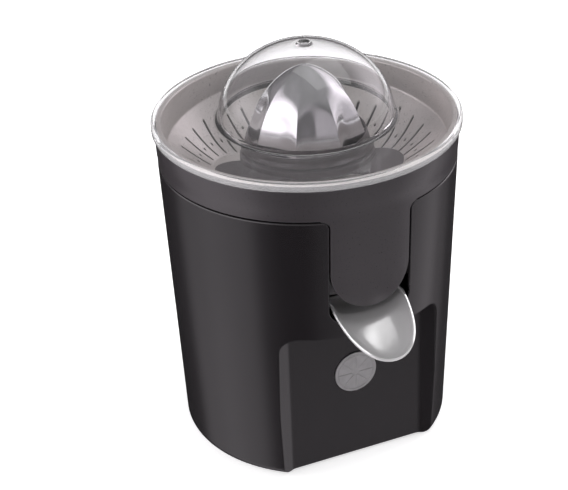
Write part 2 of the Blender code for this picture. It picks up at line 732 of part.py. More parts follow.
def make_spout():
    """Polished scoop: a trough under the outlet that narrows to a round lip, with two ears on the pin."""
    rim_z = TOP_Z - SPOUT_RIM_DROP
    reach = SPOUT_LENGTH * math.cos(SPOUT_TILT)
    across = SPOUT_FACETS

    def section(y):
        """Half width, rim height and depth of the trough at a distance from the axis."""
        share = max((y - SPOUT_ROOT_Y) / reach, 0.0)
        narrowing = (1 - share ** 2.2) ** (1 / 2.2)
        if share > 0:
            rim = rim_z - (y - SPOUT_ROOT_Y) * math.tan(SPOUT_TILT)
        else:
            rim = PIN_Z + (rim_z - PIN_Z) * (y - PIN_Y) / (SPOUT_ROOT_Y - PIN_Y)
        depth = (rim - SPOUT_FLOOR_Z) if share == 0 else SPOUT_DEPTH * narrowing
        return (SPOUT_HALF_WIDTH - SPOUT_SHEET) * narrowing, rim, depth

    def build(work):
        stations = [PIN_Y, (PIN_Y + SPOUT_ROOT_Y) / 2, SPOUT_ROOT_Y]
        stations += [SPOUT_ROOT_Y + reach * math.sin(math.pi / 2 * step / 7) for step in range(1, 7)]
        rows = []
        for y in stations:
            half, rim, depth = section(y)
            row = []
            for index in range(across + 1):
                angle = math.pi * index / across
                row.append(work.verts.new((-half * math.cos(angle), -y, rim - depth * math.sin(angle))))
            rows.append(row)
        lip = work.verts.new((0, -SPOUT_REACH, rim_z - reach * math.tan(SPOUT_TILT)))
        for near, far in zip(rows, rows[1:]):
            for index in range(across):
                work.faces.new((near[index], near[index + 1], far[index + 1], far[index]))
        for index in range(across):
            work.faces.new((rows[-1][index], rows[-1][index + 1], lip))
        work.faces.new(rows[0][::-1])

    spout = add_object("spout", mesh_from(build), POLISHED)
    shell = spout.modifiers.new("sheet", "SOLIDIFY")
    shell.thickness = SPOUT_SHEET
    shell.offset = 1
    shell.use_even_offset = True
    room = box("lug_room", (-SPOUT_HALF_WIDTH + 3 * MM, -PIN_Y - 2 * MM, PIN_Z - 5 * MM),
               (SPOUT_HALF_WIDTH - 3 * MM, -PIN_Y + 3 * MM, PIN_Z + 5 * MM))
    cut(spout, room)
    for side in (-1, 1):
        inner = side * (SPOUT_HALF_WIDTH - EAR_INSET - EAR_THICKNESS)
        outer = side * (SPOUT_HALF_WIDTH - EAR_INSET + 0.8 * MM)
        ear = rod("spout_ear_%d" % side, (inner, -PIN_Y, PIN_Z), (outer, -PIN_Y, PIN_Z), EAR_RADIUS, sides=20)
        join(spout, ear)
    hole = rod("ear_hole", (-SPOUT_HALF_WIDTH - 2 * MM, -PIN_Y, PIN_Z),
               (SPOUT_HALF_WIDTH + 2 * MM, -PIN_Y, PIN_Z), PIN_RADIUS + PIN_CLEARANCE, sides=16)
    cut(spout, hole)
    smooth(spout)
    for piece in (spout, *(change.object for change in spout.modifiers if change.type == "BOOLEAN")):
        move_origin(piece, 0, -PIN_Y, PIN_Z)
    return spout


def make_spout_pin():
    """Hinge pin through the collector's lugs and the spout's ears, with a head at each end."""
    length = SPOUT_HALF_WIDTH + 1.2 * MM
    pin = rod("spout_pin", (-length, -PIN_Y, PIN_Z), (length, -PIN_Y, PIN_Z), PIN_RADIUS, STEEL, sides=16)
    for side in (-1, 1):
        head = rod("pin_head_%d" % side, (side * (SPOUT_HALF_WIDTH + 0.2 * MM), -PIN_Y, PIN_Z),
                   (side * (length + 0.4 * MM), -PIN_Y, PIN_Z), PIN_HEAD, sides=16)
        join(pin, head)
    return pin


# ---------------------------------------------------------------- housing

def alcove_shape(name, grow):
    """Volume of the glass alcove, grown by a wall: a trapezium in plan with round top corners in front."""
    half = ALCOVE_HALF_WIDTH + grow
    face = -ALCOVE_FACE_Y + grow
    far = RIM_RADIUS + 20 * MM
    run = (far + face) / ALCOVE_SLOPE
    outline = [(-half, face), (-half - run, -far), (half + run, -far), (half, face)]
    prism = plate(name, outline, -10 * MM, ALCOVE_TOP + grow)
    side = ALCOVE_HALF_WIDTH + ALCOVE_FLARE + grow
    top = ALCOVE_TOP + grow
    corner = ALCOVE_CORNER
    front = [(-side, -15 * MM)] + arc((-side + corner, top - corner), corner, 180, 90, 6)
    front += arc((side - corner, top - corner), corner, 90, 0, 6) + [(side, -15 * MM)]
    limit = plate(name + "_front", front, -far - 1 * MM, 0, plane="XZ")
    combine(prism, limit, "INTERSECT")
    return prism


def make_housing():
    """Tapered shell with the alcove, the spout's notch, a ledge for the deck and bosses for the base."""
    seam = SEAM_Z - GAP
    bottom_radius = body_radius(STAND + FILLET)
    edge = arc((bottom_radius - FILLET, STAND + FILLET), FILLET, 0, -90, 5)
    outside = [(0, seam), (body_radius(seam), seam)] + edge + [(0, STAND)]
    housing = turned("housing", outside, BLACK, closed=False)
    opening = PLATE_RADIUS + GAP
    ledge = body_radius(DECK_Z) - WALL - DECK_LEDGE
    cavity = turned("cavity", [
        (0, seam + 5 * MM),
        (body_radius(seam) - WALL, seam + 5 * MM),
        (body_radius(DECK_Z) - WALL, DECK_Z - GAP),
        (ledge, DECK_Z - GAP),
        (ledge, DECK_Z - 3 * MM),
        (body_radius(DECK_Z) - WALL - GAP, DECK_Z - 9 * MM),
        (body_radius(STAND + 12 * MM) - WALL, STAND + 12 * MM),
        (opening, STAND + 6 * MM),
        (opening, STAND - 5 * MM),
        (0, STAND - 5 * MM),
    ], closed=False)
    cut(cavity, alcove_shape("alcove_outside", WALL))
    notch_top = SEAM_Z + 12 * MM
    outline = opening_outline(NOTCH_HALF_WIDTH, NOTCH_BOTTOM, SPOUT_DEPTH + 5 * MM, NOTCH_CORNER, notch_top)
    notch = plate("notch", outline, -RIM_RADIUS - 10 * MM, -body_radius(0) * 0.7, plane="XZ")
    cut(housing, alcove_shape("alcove", 0.0), notch)
    for index, degrees in enumerate(BOSS_ANGLES):
        angle = math.radians(degrees)
        x, y, _ = polar(BOSS_CENTRE_RADIUS, angle)
        boss = rod("base_boss_%d" % index, (x, y, PLATE_Z + PLATE + GAP), (x, y, 34 * MM), SCREW_BOSS_RADIUS)
        rib = box("boss_rib_%d" % index, (BOSS_CENTRE_RADIUS, -1.5 * MM, 12 * MM),
                  (body_radius(12 * MM) - 1 * MM, 1.5 * MM, 33 * MM))
        rib.rotation_euler.z = angle
        hole = rod("boss_hole_%d" % index, (x, y, 0), (x, y, 24 * MM), SCREW_RADIUS + GAP, sides=12)
        cut(cavity, boss, rib)
        cut(housing, hole)
    cut(housing, rod("gland_hole", (0, BASE_RADIUS - 12 * MM, GLAND_Z), (0, BASE_RADIUS + 5 * MM, GLAND_Z),
                     GLAND_RADIUS + GAP))
    cut(housing, cavity)
    smooth(housing)
    return housing


def make_badge():
    """Plain round emblem on the alcove's face."""
    back = -ALCOVE_FACE_Y - GAP
    return rod("front_badge", (0, back, BADGE_Z), (0, back - BADGE_THICKNESS, BADGE_Z), BADGE_RADIUS, LIGHT)


def make_deck():
    """Floor over the motor with a tower that carries the shaft up through the collector."""
    radius = body_radius(DECK_Z) - WALL - 2 * GAP
    bore = SHAFT_RADIUS + 0.5 * MM
    bush_bore = BUSH_RADIUS + GAP
    bush_low = TOWER_TOP_Z - BUSH_LENGTH
    profile = [
        (TOWER_RADIUS, TOWER_TOP_Z),
        (TOWER_RADIUS, DECK_Z + DECK + 6 * MM),
        (TOWER_RADIUS + 6 * MM, DECK_Z + DECK),
        (radius, DECK_Z + DECK),
        (radius, DECK_Z),
        (bore, DECK_Z),
        (bore, bush_low - GAP),
        (bush_bore, bush_low - GAP),
        (bush_bore, TOWER_TOP_Z),
    ]
    deck = turned("motor_deck", profile, DARK)
    for index in range(3):
        x, y = pillar_place(index)
        cut(deck, rod("deck_hole_%d" % index, (x, y, DECK_Z - 1 * MM), (x, y, DECK_Z + DECK + 1 * MM),
                      SCREW_RADIUS + GAP, sides=12))
    smooth(deck)
    return deck


def make_shaft_seal():
    """Rubber ring on top of the tower round the shaft."""
    low = TOWER_TOP_Z + GAP
    return turned("shaft_seal", [
        (TOWER_RADIUS - 0.2 * MM, low + 1 * MM),
        (TOWER_RADIUS - 0.2 * MM, low),
        (SHAFT_RADIUS + RUNNING, low),
        (SHAFT_RADIUS + RUNNING, low + 1.6 * MM),
        (SHAFT_RADIUS + 1.5 * MM, low + 1.6 * MM),
    ], RUBBER, steps=24)


def make_base_plate():
    """Bottom closure, cut off flat behind the alcove, with holes for the screws and the feet."""
    base = rod("base_plate", (0, 0, PLATE_Z), (0, 0, PLATE_Z + PLATE), PLATE_RADIUS, DARK, STEPS)
    cut(base, alcove_shape("alcove_clear", WALL + GAP))
    for index, degrees in enumerate(BOSS_ANGLES):
        x, y, _ = polar(BOSS_CENTRE_RADIUS, math.radians(degrees))
        cut(base, rod("screw_hole_%d" % index, (x, y, 0), (x, y, 10 * MM), SCREW_RADIUS + GAP, sides=12))
    for index, degrees in enumerate(FOOT_ANGLES):
        x, y, _ = polar(FOOT_CENTRE_RADIUS, math.radians(degrees))
        cut(base, rod("foot_hole_%d" % index, (x, y, 0), (x, y, 10 * MM), STEM_RADIUS + GAP, sides=16))
    return base


def make_feet():
    """Rubber feet, each held by a stem with a barb above the plate."""
    top = PLATE_Z + PLATE
    for index, degrees in enumerate(FOOT_ANGLES):
        x, y, _ = polar(FOOT_CENTRE_RADIUS, math.radians(degrees))
        foot = turned("foot_%d" % (index + 1), [
            (0, top + 3.5 * MM),
            (STEM_RADIUS - 1 * MM, top + 3.5 * MM),
            (STEM_RADIUS + 1 * MM, top + GAP),
            (STEM_RADIUS, top + GAP),
            (STEM_RADIUS, PLATE_Z - GAP),
            (FOOT_RADIUS, PLATE_Z - GAP),
            (FOOT_RADIUS - 0.8 * MM, 0),
            (0, 0),
        ], RUBBER, steps=14, closed=False)
        foot.location = (x, y, 0)


def screw_shape(name, place, head_bottom, tip):
    """Screw seen as a pan head below a plain shank, standing on its head."""
    screw = turned(name, [
        (0, tip),
        (SCREW_RADIUS - 0.5 * MM, tip),
        (SCREW_RADIUS, tip - 1.5 * MM),
        (SCREW_RADIUS, head_bottom + SCREW_HEAD_HEIGHT),
        (SCREW_HEAD, head_bottom + SCREW_HEAD_HEIGHT),
        (SCREW_HEAD, head_bottom + 0.5 * MM),
        (SCREW_HEAD - 0.6 * MM, head_bottom),
        (0, head_bottom),
    ], STEEL, steps=8, closed=False)
    screw.location = (place[0], place[1], 0)
    return screw


def make_base_screws():
    """Four screws, their heads just under the base plate."""
    for index, degrees in enumerate(BOSS_ANGLES):
        place = polar(BOSS_CENTRE_RADIUS, math.radians(degrees))
        screw_shape("base_screw_%d" % (index + 1), place, PLATE_Z - GAP - SCREW_HEAD_HEIGHT, 22 * MM)


def make_gland():
    """Rubber grommet in the back wall where a mains cord enters."""
    wall_out = body_radius(GLAND_Z)
    wall_in = wall_out - WALL
    start = (0, wall_in - 3.5 * MM, GLAND_Z)
    gland = rod("cord_gland", start, (0, wall_out + 3 * MM, GLAND_Z), GLAND_RADIUS, RUBBER)
    flange = rod("gland_flange", (0, wall_out + 0.6 * MM, GLAND_Z), (0, wall_out + 3 * MM, GLAND_Z),
                 GLAND_RADIUS + 2 * MM)
    collar = rod("gland_collar", start, (0, wall_in - 1.2 * MM, GLAND_Z), GLAND_RADIUS + 1.5 * MM)
    join(gland, flange, collar)
    cut(gland, rod("gland_bore", (0, wall_in - 8 * MM, GLAND_Z), (0, wall_out + 8 * MM, GLAND_Z), 3.2 * MM))
    return gland


# ---------------------------------------------------------------- gears and shafts

def involute(angle):
    return math.tan(angle) - angle


def gear_outline(teeth, module, centre, tooth_at, spans=2):
    """Outline of a spur gear: involute flanks with play, one tooth centred on a given direction."""
    pitch = module * teeth / 2
    base = pitch * math.cos(PRESSURE_ANGLE)
    tip = pitch + 0.85 * module
    root = pitch - 1.1 * module
    half_tooth = math.pi / (2 * teeth) - TOOTH_PLAY / (4 * pitch) + involute(PRESSURE_ANGLE)
    flank = []
    foot = max(base * 1.0005, root)
    for step in range(spans + 1):
        radius = foot + (tip - foot) * step / spans
        flank.append((radius, half_tooth - involute(math.acos(base / radius))))
    if root < base:
        flank.insert(0, (root, flank[0][1]))
    points = []
    for tooth in range(teeth):
        middle = tooth_at + 2 * math.pi * tooth / teeth
        for radius, half in flank:
            points.append((radius, middle - half))
        for radius, half in reversed(flank):
            points.append((radius, middle + half))
    return [(centre[0] + radius * math.cos(angle), centre[1] + radius * math.sin(angle))
            for radius, angle in points]


def axis_places():
    """Centres of the compound gear and the rotor: two circles of gear centres meet at the compound gear."""
    rotor = Vector((ROTOR_X, ROTOR_Y))
    reach = rotor.length
    along = (OUTPUT_CENTRES ** 2 - FIRST_CENTRES ** 2 + reach ** 2) / (2 * reach)
    aside = math.sqrt(OUTPUT_CENTRES ** 2 - along ** 2)
    direction = rotor / reach
    normal = Vector((direction.y, -direction.x))
    compound = direction * along + normal * aside
    return compound, rotor


def make_output_gear():
    """Large gear on the shaft. It slides down with the shaft along the long teeth of the small gear."""
    compound, _ = axis_places()
    toward = math.atan2(compound.y, compound.x)
    low = OUTPUT_GEAR_Z
    gear = plate("output_gear", gear_outline(OUTPUT_TEETH, OUTPUT_MODULE, (0, 0), toward, spans=1),
                 low, low + GEAR_FACE, WHITE)
    hub = rod("output_hub", (0, 0, low + 1 * MM), (0, 0, low + GEAR_FACE + 3 * MM), SHAFT_RADIUS + 4 * MM)
    bore = rod("output_bore", (0, 0, low - 1 * MM), (0, 0, low + GEAR_FACE + 5 * MM), SHAFT_RADIUS + GAP)
    join(gear, hub)
    cut(gear, bore)
    return gear


def make_compound_gear():
    """Large first-stage gear and a long small gear in one moulding."""
    compound, rotor = axis_places()
    back = math.atan2(-compound.y, -compound.x) + math.pi / SMALL_TEETH
    to_rotor = math.atan2(rotor.y - compound.y, rotor.x - compound.x)
    low = LARGE_GEAR_Z
    large = plate("compound_gear", gear_outline(LARGE_TEETH, FIRST_MODULE, compound, to_rotor, spans=1),
                  low, low + GEAR_FACE - 1 * MM, WHITE)
    small = plate("compound_small", gear_outline(SMALL_TEETH, OUTPUT_MODULE, compound, back),
                  low + GEAR_FACE - 1.5 * MM, OUTPUT_GEAR_Z + GEAR_FACE + 1 * MM)
    bore = rod("compound_bore", (*compound, low - 1 * MM), (*compound, DECK_Z), AXLE_RADIUS + RUNNING)
    join(large, small)
    cut(large, bore)
    move_origin(large, compound.x, compound.y, 0)
    return large


def make_gear_axle():
    """Steel pin of the compound gear, held between the gearbox base and the deck."""
    compound, _ = axis_places()
    return rod("gear_axle", (*compound, GEARBOX_Z), (*compound, DECK_Z - GAP), AXLE_RADIUS, STEEL, 20)


def make_motor_pinion():
    """Small gear on the rotor shaft."""
    compound, rotor = axis_places()
    toward = math.atan2(compound.y - rotor.y, compound.x - rotor.x) + math.pi / PINION_TEETH
    low = GEARBOX_Z + GEARBOX_PLATE + 0.8 * MM
    pinion = plate("motor_pinion", gear_outline(PINION_TEETH, FIRST_MODULE, rotor, toward),
                   low, LARGE_GEAR_Z + GEAR_FACE - 0.5 * MM, BRASS)
    cut(pinion, rod("pinion_bore", (*rotor, low - 1 * MM), (*rotor, low + 12 * MM), ROTOR_SHAFT_RADIUS + GAP,
                    sides=16))
    move_origin(pinion, rotor.x, rotor.y, 0)
    return pinion


def make_drive_shaft():
    """Steel shaft from the thrust cup to a hexagonal head inside the cone's hub."""
    shaft = rod("drive_shaft", (0, 0, SHAFT_FOOT_Z), (0, 0, HEX_TOP_Z - HEX_LENGTH + 1 * MM), SHAFT_RADIUS,
                STEEL, 32)
    head = plate("hex_head", hex_outline(HEX_RADIUS), HEX_TOP_Z - HEX_LENGTH, HEX_TOP_Z)
    join(shaft, head)
    smooth(shaft)
    return shaft


def make_bush(name, low, length):
    return turned(name, [
        (BUSH_RADIUS, low + length),
        (BUSH_RADIUS, low),
        (SHAFT_RADIUS + RUNNING, low),
        (SHAFT_RADIUS + RUNNING, low + length),
    ], BRASS, steps=32)


def pillar_place(index):
    """Plan position of a gearbox pillar."""
    return polar(GEARBOX_RADIUS - PILLAR_INSET, math.radians(PILLAR_ANGLES[index]))[:2]


def make_gearbox_base():
    """Plate under the gears with pillars up to the deck and a cage for the press mechanism."""
    compound, rotor = axis_places()
    top = GEARBOX_Z + GEARBOX_PLATE
    base = rod("gearbox_base", (0, 0, GEARBOX_Z), (0, 0, top), GEARBOX_RADIUS, DARK, STEPS)
    wing = rod("gearbox_wing", (*rotor, GEARBOX_Z), (*rotor, top), 26 * MM, sides=32)
    join(base, wing)
    for index in range(3):
        x, y = pillar_place(index)
        join(base, rod("pillar_%d" % index, (x, y, top - 1 * MM), (x, y, DECK_Z - GAP), PILLAR_RADIUS,
                       sides=16))
    collar = rod("bush_collar", (0, 0, GEARBOX_Z), (0, 0, top + BUSH_SEAT), BUSH_RADIUS + 2.5 * MM)
    join(base, collar)
    span = CUP_RADIUS + 3.6 * MM
    for side in (-1, 1):
        leg = box("cage_leg_%d" % side, (side * span - 1.5 * MM, -4 * MM, CAGE_Z + 1 * MM),
                  (side * span + 1.5 * MM, 4 * MM, GEARBOX_Z + 1 * MM))
        join(base, leg)
    floor = box("cage_floor", (-span - 1.5 * MM, -SWITCH_Y - 6 * MM, CAGE_Z),
                (span + 1.5 * MM, 4 * MM, CAGE_Z + CAGE_PLATE))
    join(base, floor)
    cut(base, rod("bush_bore", (0, 0, GEARBOX_Z - 5 * MM), (0, 0, top + 8 * MM), BUSH_RADIUS + GAP, sides=32))
    cut(base, rod("axle_seat", (*compound, GEARBOX_Z - 5 * MM), (*compound, top + 5 * MM), AXLE_RADIUS + GAP,
                  sides=20))
    cut(base, rod("rotor_opening", (*rotor, GEARBOX_Z - 5 * MM), (*rotor, top + 5 * MM), 4 * MM))
    for index in range(3):
        x, y = pillar_place(index)
        cut(base, rod("pillar_hole_%d" % index, (x, y, GEARBOX_Z - 5 * MM), (x, y, DECK_Z + 5 * MM),
                      SCREW_RADIUS + GAP, sides=12))
    for index, y in enumerate(motor_screw_rows()):
        cut(base, rod("motor_hole_%d" % index, (ROTOR_X, y, GEARBOX_Z - 5 * MM), (ROTOR_X, y, top + 5 * MM),
                      SCREW_RADIUS + GAP, sides=12))
    return base


def make_gearbox_screws():
    """Three long screws through the pillars into the deck."""
    for index in range(3):
        screw_shape("gearbox_screw_%d" % (index + 1), pillar_place(index),
                    GEARBOX_Z - GAP - SCREW_HEAD_HEIGHT, DECK_Z + DECK - 0.4 * MM)


# ---------------------------------------------------------------- motor

def motor_screw_rows():
    reach = CORE_WIDTH / 2 - MOTOR_SCREW_INSET
    return (ROTOR_Y - reach, ROTOR_Y + reach)


def core_span():
    """Low and high X of the stator core."""
    low = ROTOR_X - CORE_WIDTH / 2
    return low, low + CORE_LENGTH


def make_stator_core():
    """Stack of U-shaped laminations with a bore for the rotor."""
    low_x, high_x = core_span()
    low_y = ROTOR_Y - CORE_WIDTH / 2
    high_y = ROTOR_Y + CORE_WIDTH / 2
    top = CORE_BOTTOM + CORE_HEIGHT
    inner = CORE_WIDTH / 2 - LEG_WIDTH
    outline = [
        (low_x, low_y), (high_x, low_y), (high_x, high_y), (low_x, high_y),
        (low_x, ROTOR_Y + inner), (high_x - LEG_WIDTH, ROTOR_Y + inner),
        (high_x - LEG_WIDTH, ROTOR_Y - inner), (low_x, ROTOR_Y - inner),
    ]
    core = plate("stator_core", outline, CORE_BOTTOM, top, LAMINATE)
    bore = rod("core_bore", (ROTOR_X, ROTOR_Y, CORE_BOTTOM - 5 * MM), (ROTOR_X, ROTOR_Y, top + 5 * MM),
               ROTOR_RADIUS + AIR_GAP, sides=32)
    cut(core, bore)
    for index, y in enumerate(motor_screw_rows()):
        cut(core, rod("core_hole_%d" % index, (ROTOR_X, y, CORE_BOTTOM - 5 * MM), (ROTOR_X, y, top + 5 * MM),
                      SCREW_RADIUS + GAP, sides=12))
    return core


def make_coils():
    """Two windings, one round each leg."""
    _, high_x = core_span()
    end = high_x - LEG_WIDTH - 3 * MM
    start = end - COIL_LENGTH
    for index, side in enumerate((-1, 1)):
        centre = ROTOR_Y + side * (CORE_WIDTH / 2 - LEG_WIDTH / 2)
        reach = LEG_WIDTH / 2 + GAP + COIL_BUILD
        coil = box("coil_%d" % (index + 1), (start, centre - reach, CORE_BOTTOM - COIL_BUILD),
                   (end, centre + reach, CORE_BOTTOM + CORE_HEIGHT + COIL_BUILD), COPPER)
        inside = LEG_WIDTH / 2 + GAP
        hollow = box("coil_hollow_%d" % index, (start - 1 * MM, centre - inside, CORE_BOTTOM - GAP),
                     (end + 1 * MM, centre + inside, CORE_BOTTOM + CORE_HEIGHT + GAP))
        bevel = coil.modifiers.new("round", "BEVEL")
        bevel.width = 1.5 * MM
        bevel.segments = 1
        cut(coil, hollow)


def make_rotor():
    """Magnet drum on a thin shaft."""
    _, rotor = axis_places()
    shaft = rod("rotor_shaft", (*rotor, CORE_BOTTOM - 5 * MM), (*rotor, LARGE_GEAR_Z + GEAR_FACE),
                ROTOR_SHAFT_RADIUS, STEEL, 16)
    top = CORE_BOTTOM + CORE_HEIGHT
    magnet = rod("rotor_magnet", (*rotor, CORE_BOTTOM - 0.5 * MM), (*rotor, top + 0.5 * MM),
                 ROTOR_RADIUS, MAGNET, 32)
    cut(magnet, rod("magnet_bore", (*rotor, CORE_BOTTOM - 3 * MM), (*rotor, top + 3 * MM),
                    ROTOR_SHAFT_RADIUS + GAP, sides=16))
    move_origin(shaft, rotor.x, rotor.y, 0)
    move_origin(magnet, rotor.x, rotor.y, 0)


def make_brackets():
    """Bearing straps above and below the rotor."""
    half = BRACKET_HALF
    low_y = ROTOR_Y - CORE_WIDTH / 2
    high_y = ROTOR_Y + CORE_WIDTH / 2
    top = CORE_BOTTOM + CORE_HEIGHT
    levels = {"upper": (top + GAP, 1), "lower": (CORE_BOTTOM - GAP, -1)}
    for name, (face, way) in levels.items():
        far = face + way * BRACKET
        strap = box("motor_bracket_" + name, (ROTOR_X - half, low_y, min(face, far)),
                    (ROTOR_X + half, high_y, max(face, far)), STEEL)
        inside = face - way * 1 * MM
        deep = face + way * 2 * MM
        relief = box("bracket_relief_" + name,
                     (ROTOR_X - half - 1 * MM, ROTOR_Y - ROTOR_RADIUS - 2 * MM, min(inside, deep)),
                     (ROTOR_X + half + 1 * MM, ROTOR_Y + ROTOR_RADIUS + 2 * MM, max(inside, deep)))
        bore = rod("bracket_bore_" + name, (ROTOR_X, ROTOR_Y, min(face, far) - 1 * MM),
                   (ROTOR_X, ROTOR_Y, max(face, far) + 1 * MM), ROTOR_SHAFT_RADIUS + RUNNING, sides=16)
        cut(strap, relief, bore)
        for index, y in enumerate(motor_screw_rows()):
            cut(strap, rod("bracket_hole_%s_%d" % (name, index), (ROTOR_X, y, min(face, far) - 1 * MM),
                           (ROTOR_X, y, max(face, far) + 1 * MM), SCREW_RADIUS + GAP, sides=12))


def make_motor_screws():
    """Two long screws hold the motor under the gearbox base."""
    for index, y in enumerate(motor_screw_rows()):
        screw_shape("motor_screw_%d" % (index + 1), (ROTOR_X, y),
                    CORE_BOTTOM - 2 * GAP - BRACKET - SCREW_HEAD_HEIGHT, GEARBOX_Z + GEARBOX_PLATE - 0.4 * MM)


# ---------------------------------------------------------------- press mechanism

def make_thrust_cup():
    """Cup under the shaft's foot with an arm that presses the switch."""
    cup = rod("thrust_cup", (0, 0, CUP_Z), (0, 0, CUP_Z + CUP_HEIGHT), CUP_RADIUS, WHITE, 32)
    arm = box("cup_arm", (-2.5 * MM, -SWITCH_Y - 3 * MM, CUP_Z), (2.5 * MM, 0, CUP_Z + CUP_ARM))
    join(cup, arm)
    cut(cup, rod("cup_hollow", (0, 0, CUP_Z + CUP_FLOOR), (0, 0, CUP_Z + CUP_HEIGHT + 4 * MM),
                 CUP_RADIUS - CUP_WALL, sides=32))
    return cup


def make_return_spring():
    """Coil spring between the cage and the thrust cup."""
    low = CAGE_Z + CAGE_PLATE + GAP + SPRING_WIRE
    high = CUP_Z - GAP - SPRING_WIRE
    curve = bpy.data.curves.new("return_spring", "CURVE")
    curve.dimensions = "3D"
    curve.bevel_depth = SPRING_WIRE
    curve.bevel_resolution = 1
    curve.use_fill_caps = True
    count = SPRING_TURNS * 12
    spline = curve.splines.new("POLY")
    spline.points.add(count)
    for index in range(count + 1):
        share = index / count
        x, y, _ = polar(SPRING_RADIUS, 2 * math.pi * SPRING_TURNS * share)
        spline.points[index].co = (x, y, low + (high - low) * share, 1)
    curve.materials.append(STEEL)
    spring = bpy.data.objects.new("return_spring", curve)
    spring.parent = ROOT
    PARTS.objects.link(spring)
    return spring


def make_switch():
    """Micro switch on the cage floor with a sprung button on top."""
    low = CAGE_Z + CAGE_PLATE + GAP
    high = low + SWITCH_HEIGHT
    body = box("switch_body", (-8 * MM, -SWITCH_Y - 4.5 * MM, low), (8 * MM, -SWITCH_Y + 4.5 * MM, high),
               DARK)
    cut(body, rod("button_well", (0, -SWITCH_Y, high - 6 * MM), (0, -SWITCH_Y, high + 1 * MM),
                  BUTTON_RADIUS + GAP, sides=16))
    rod("switch_button", (0, -SWITCH_Y, high - 3 * MM), (0, -SWITCH_Y, CUP_Z - GAP), BUTTON_RADIUS, WHITE, 16)


# ---------------------------------------------------------------- build

clear_scene()
PARTS = new_collection("citrus_press_juicer")
CUTTERS = new_collection("cutters")
ROOT = bpy.data.objects.new("drive_axis", None)
ROOT.location = (0, AXIS_Y, 0)
PARTS.objects.link(ROOT)

CLEAR = material("clear_plastic", (0.86, 0.85, 0.88), 0.05)
POLISHED = material("polished_steel", (0.80, 0.80, 0.82), 0.08, 1.0)
STEEL = material("satin_steel", (0.62, 0.61, 0.60), 0.3, 1.0)
BLACK = material("charcoal_plastic", (0.055, 0.052, 0.055), 0.35)
DARK = material("dark_plastic", (0.07, 0.066, 0.07), 0.4)
LIGHT = material("pale_plastic", (0.6, 0.59, 0.6), 0.35)
WHITE = material("white_nylon", (0.8, 0.79, 0.75), 0.45)
RUBBER = material("black_rubber", (0.03, 0.03, 0.03), 0.8)
BRASS = material("brass", (0.78, 0.6, 0.3), 0.3, 1.0)
COPPER = material("copper_winding", (0.72, 0.35, 0.18), 0.35, 1.0)
MAGNET = material("ferrite", (0.1, 0.1, 0.11), 0.6)
LAMINATE = material("lamination", (0.4, 0.4, 0.42), 0.4, 1.0)

make_lid()
make_strainer()
make_cone()
make_cone_hub()
make_sweeper()
make_collector()
make_outlet_seal()
make_spout()
make_spout_pin()
make_housing()
make_badge()
make_deck()
make_shaft_seal()
make_base_plate()
make_feet()
make_base_screws()
make_gland()
make_output_gear()
make_compound_gear()
make_gear_axle()
make_motor_pinion()
make_drive_shaft()
make_bush("upper_bush", TOWER_TOP_Z - BUSH_LENGTH, BUSH_LENGTH)
make_bush("lower_bush", GEARBOX_Z, GEARBOX_PLATE + BUSH_SEAT)
make_gearbox_base()
make_gearbox_screws()
make_stator_core()
make_coils()
make_rotor()
make_brackets()
make_motor_screws()
make_thrust_cup()
make_return_spring()
make_switch()
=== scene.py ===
import json
import math

import bmesh
import bpy
from mathutils import Matrix, Vector


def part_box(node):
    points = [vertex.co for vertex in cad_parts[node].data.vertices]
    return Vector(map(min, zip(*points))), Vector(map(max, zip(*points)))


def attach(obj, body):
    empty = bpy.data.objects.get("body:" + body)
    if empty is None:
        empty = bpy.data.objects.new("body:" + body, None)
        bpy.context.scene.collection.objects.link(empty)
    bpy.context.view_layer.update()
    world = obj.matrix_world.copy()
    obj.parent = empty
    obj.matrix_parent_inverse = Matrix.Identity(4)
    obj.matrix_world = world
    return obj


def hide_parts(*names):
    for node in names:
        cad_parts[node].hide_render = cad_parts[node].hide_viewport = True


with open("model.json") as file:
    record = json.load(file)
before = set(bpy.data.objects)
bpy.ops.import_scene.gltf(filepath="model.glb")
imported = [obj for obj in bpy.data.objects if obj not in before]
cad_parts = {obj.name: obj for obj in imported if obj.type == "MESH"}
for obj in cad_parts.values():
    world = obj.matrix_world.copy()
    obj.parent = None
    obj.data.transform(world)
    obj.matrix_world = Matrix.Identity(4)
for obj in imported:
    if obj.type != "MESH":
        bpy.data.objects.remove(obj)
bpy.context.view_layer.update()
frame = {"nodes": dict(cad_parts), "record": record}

mm = 0.001

# places shared by several pieces, read from the frame
lidLow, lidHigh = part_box("lid")
axisY = (lidLow.y + lidHigh.y) / 2
rimRadius = (lidHigh.x - lidLow.x) / 2
lipHeight = 5.5 * mm
topZ = lidLow.z + lipHeight
housingLow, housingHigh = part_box("housing")
standZ = housingLow.z
seamZ = housingHigh.z
deckLow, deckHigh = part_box("motor_deck")
ringRadius = rimRadius - 1.8 * mm
shoulderZ = topZ - lipHeight - 0.3 * mm
baseRadius = 85.4 * mm
wall = 2.5 * mm
ringSeamZ = topZ - 26.8 * mm  # where the ring ends on the housing's rim
lidSize = dict(sheet=2 * mm, domeRadius=54 * mm, domeHeight=46.5 * mm, dish=2 * mm, root=3 * mm,
               lipWidth=2.2 * mm, bossRadius=5.2 * mm, bossHeight=1.2 * mm)


def bodyRadius(z):
    return baseRadius + (ringRadius - baseRadius) * (z - standZ) / (shoulderZ - standZ)


def newPiece(name, mesh):
    piece = bpy.data.objects.new(name, mesh)
    bpy.context.scene.collection.objects.link(piece)
    return piece


def meshFrom(work, name):
    bmesh.ops.recalc_face_normals(work, faces=work.faces)
    mesh = bpy.data.meshes.new(name)
    work.to_mesh(mesh)
    work.free()
    return mesh


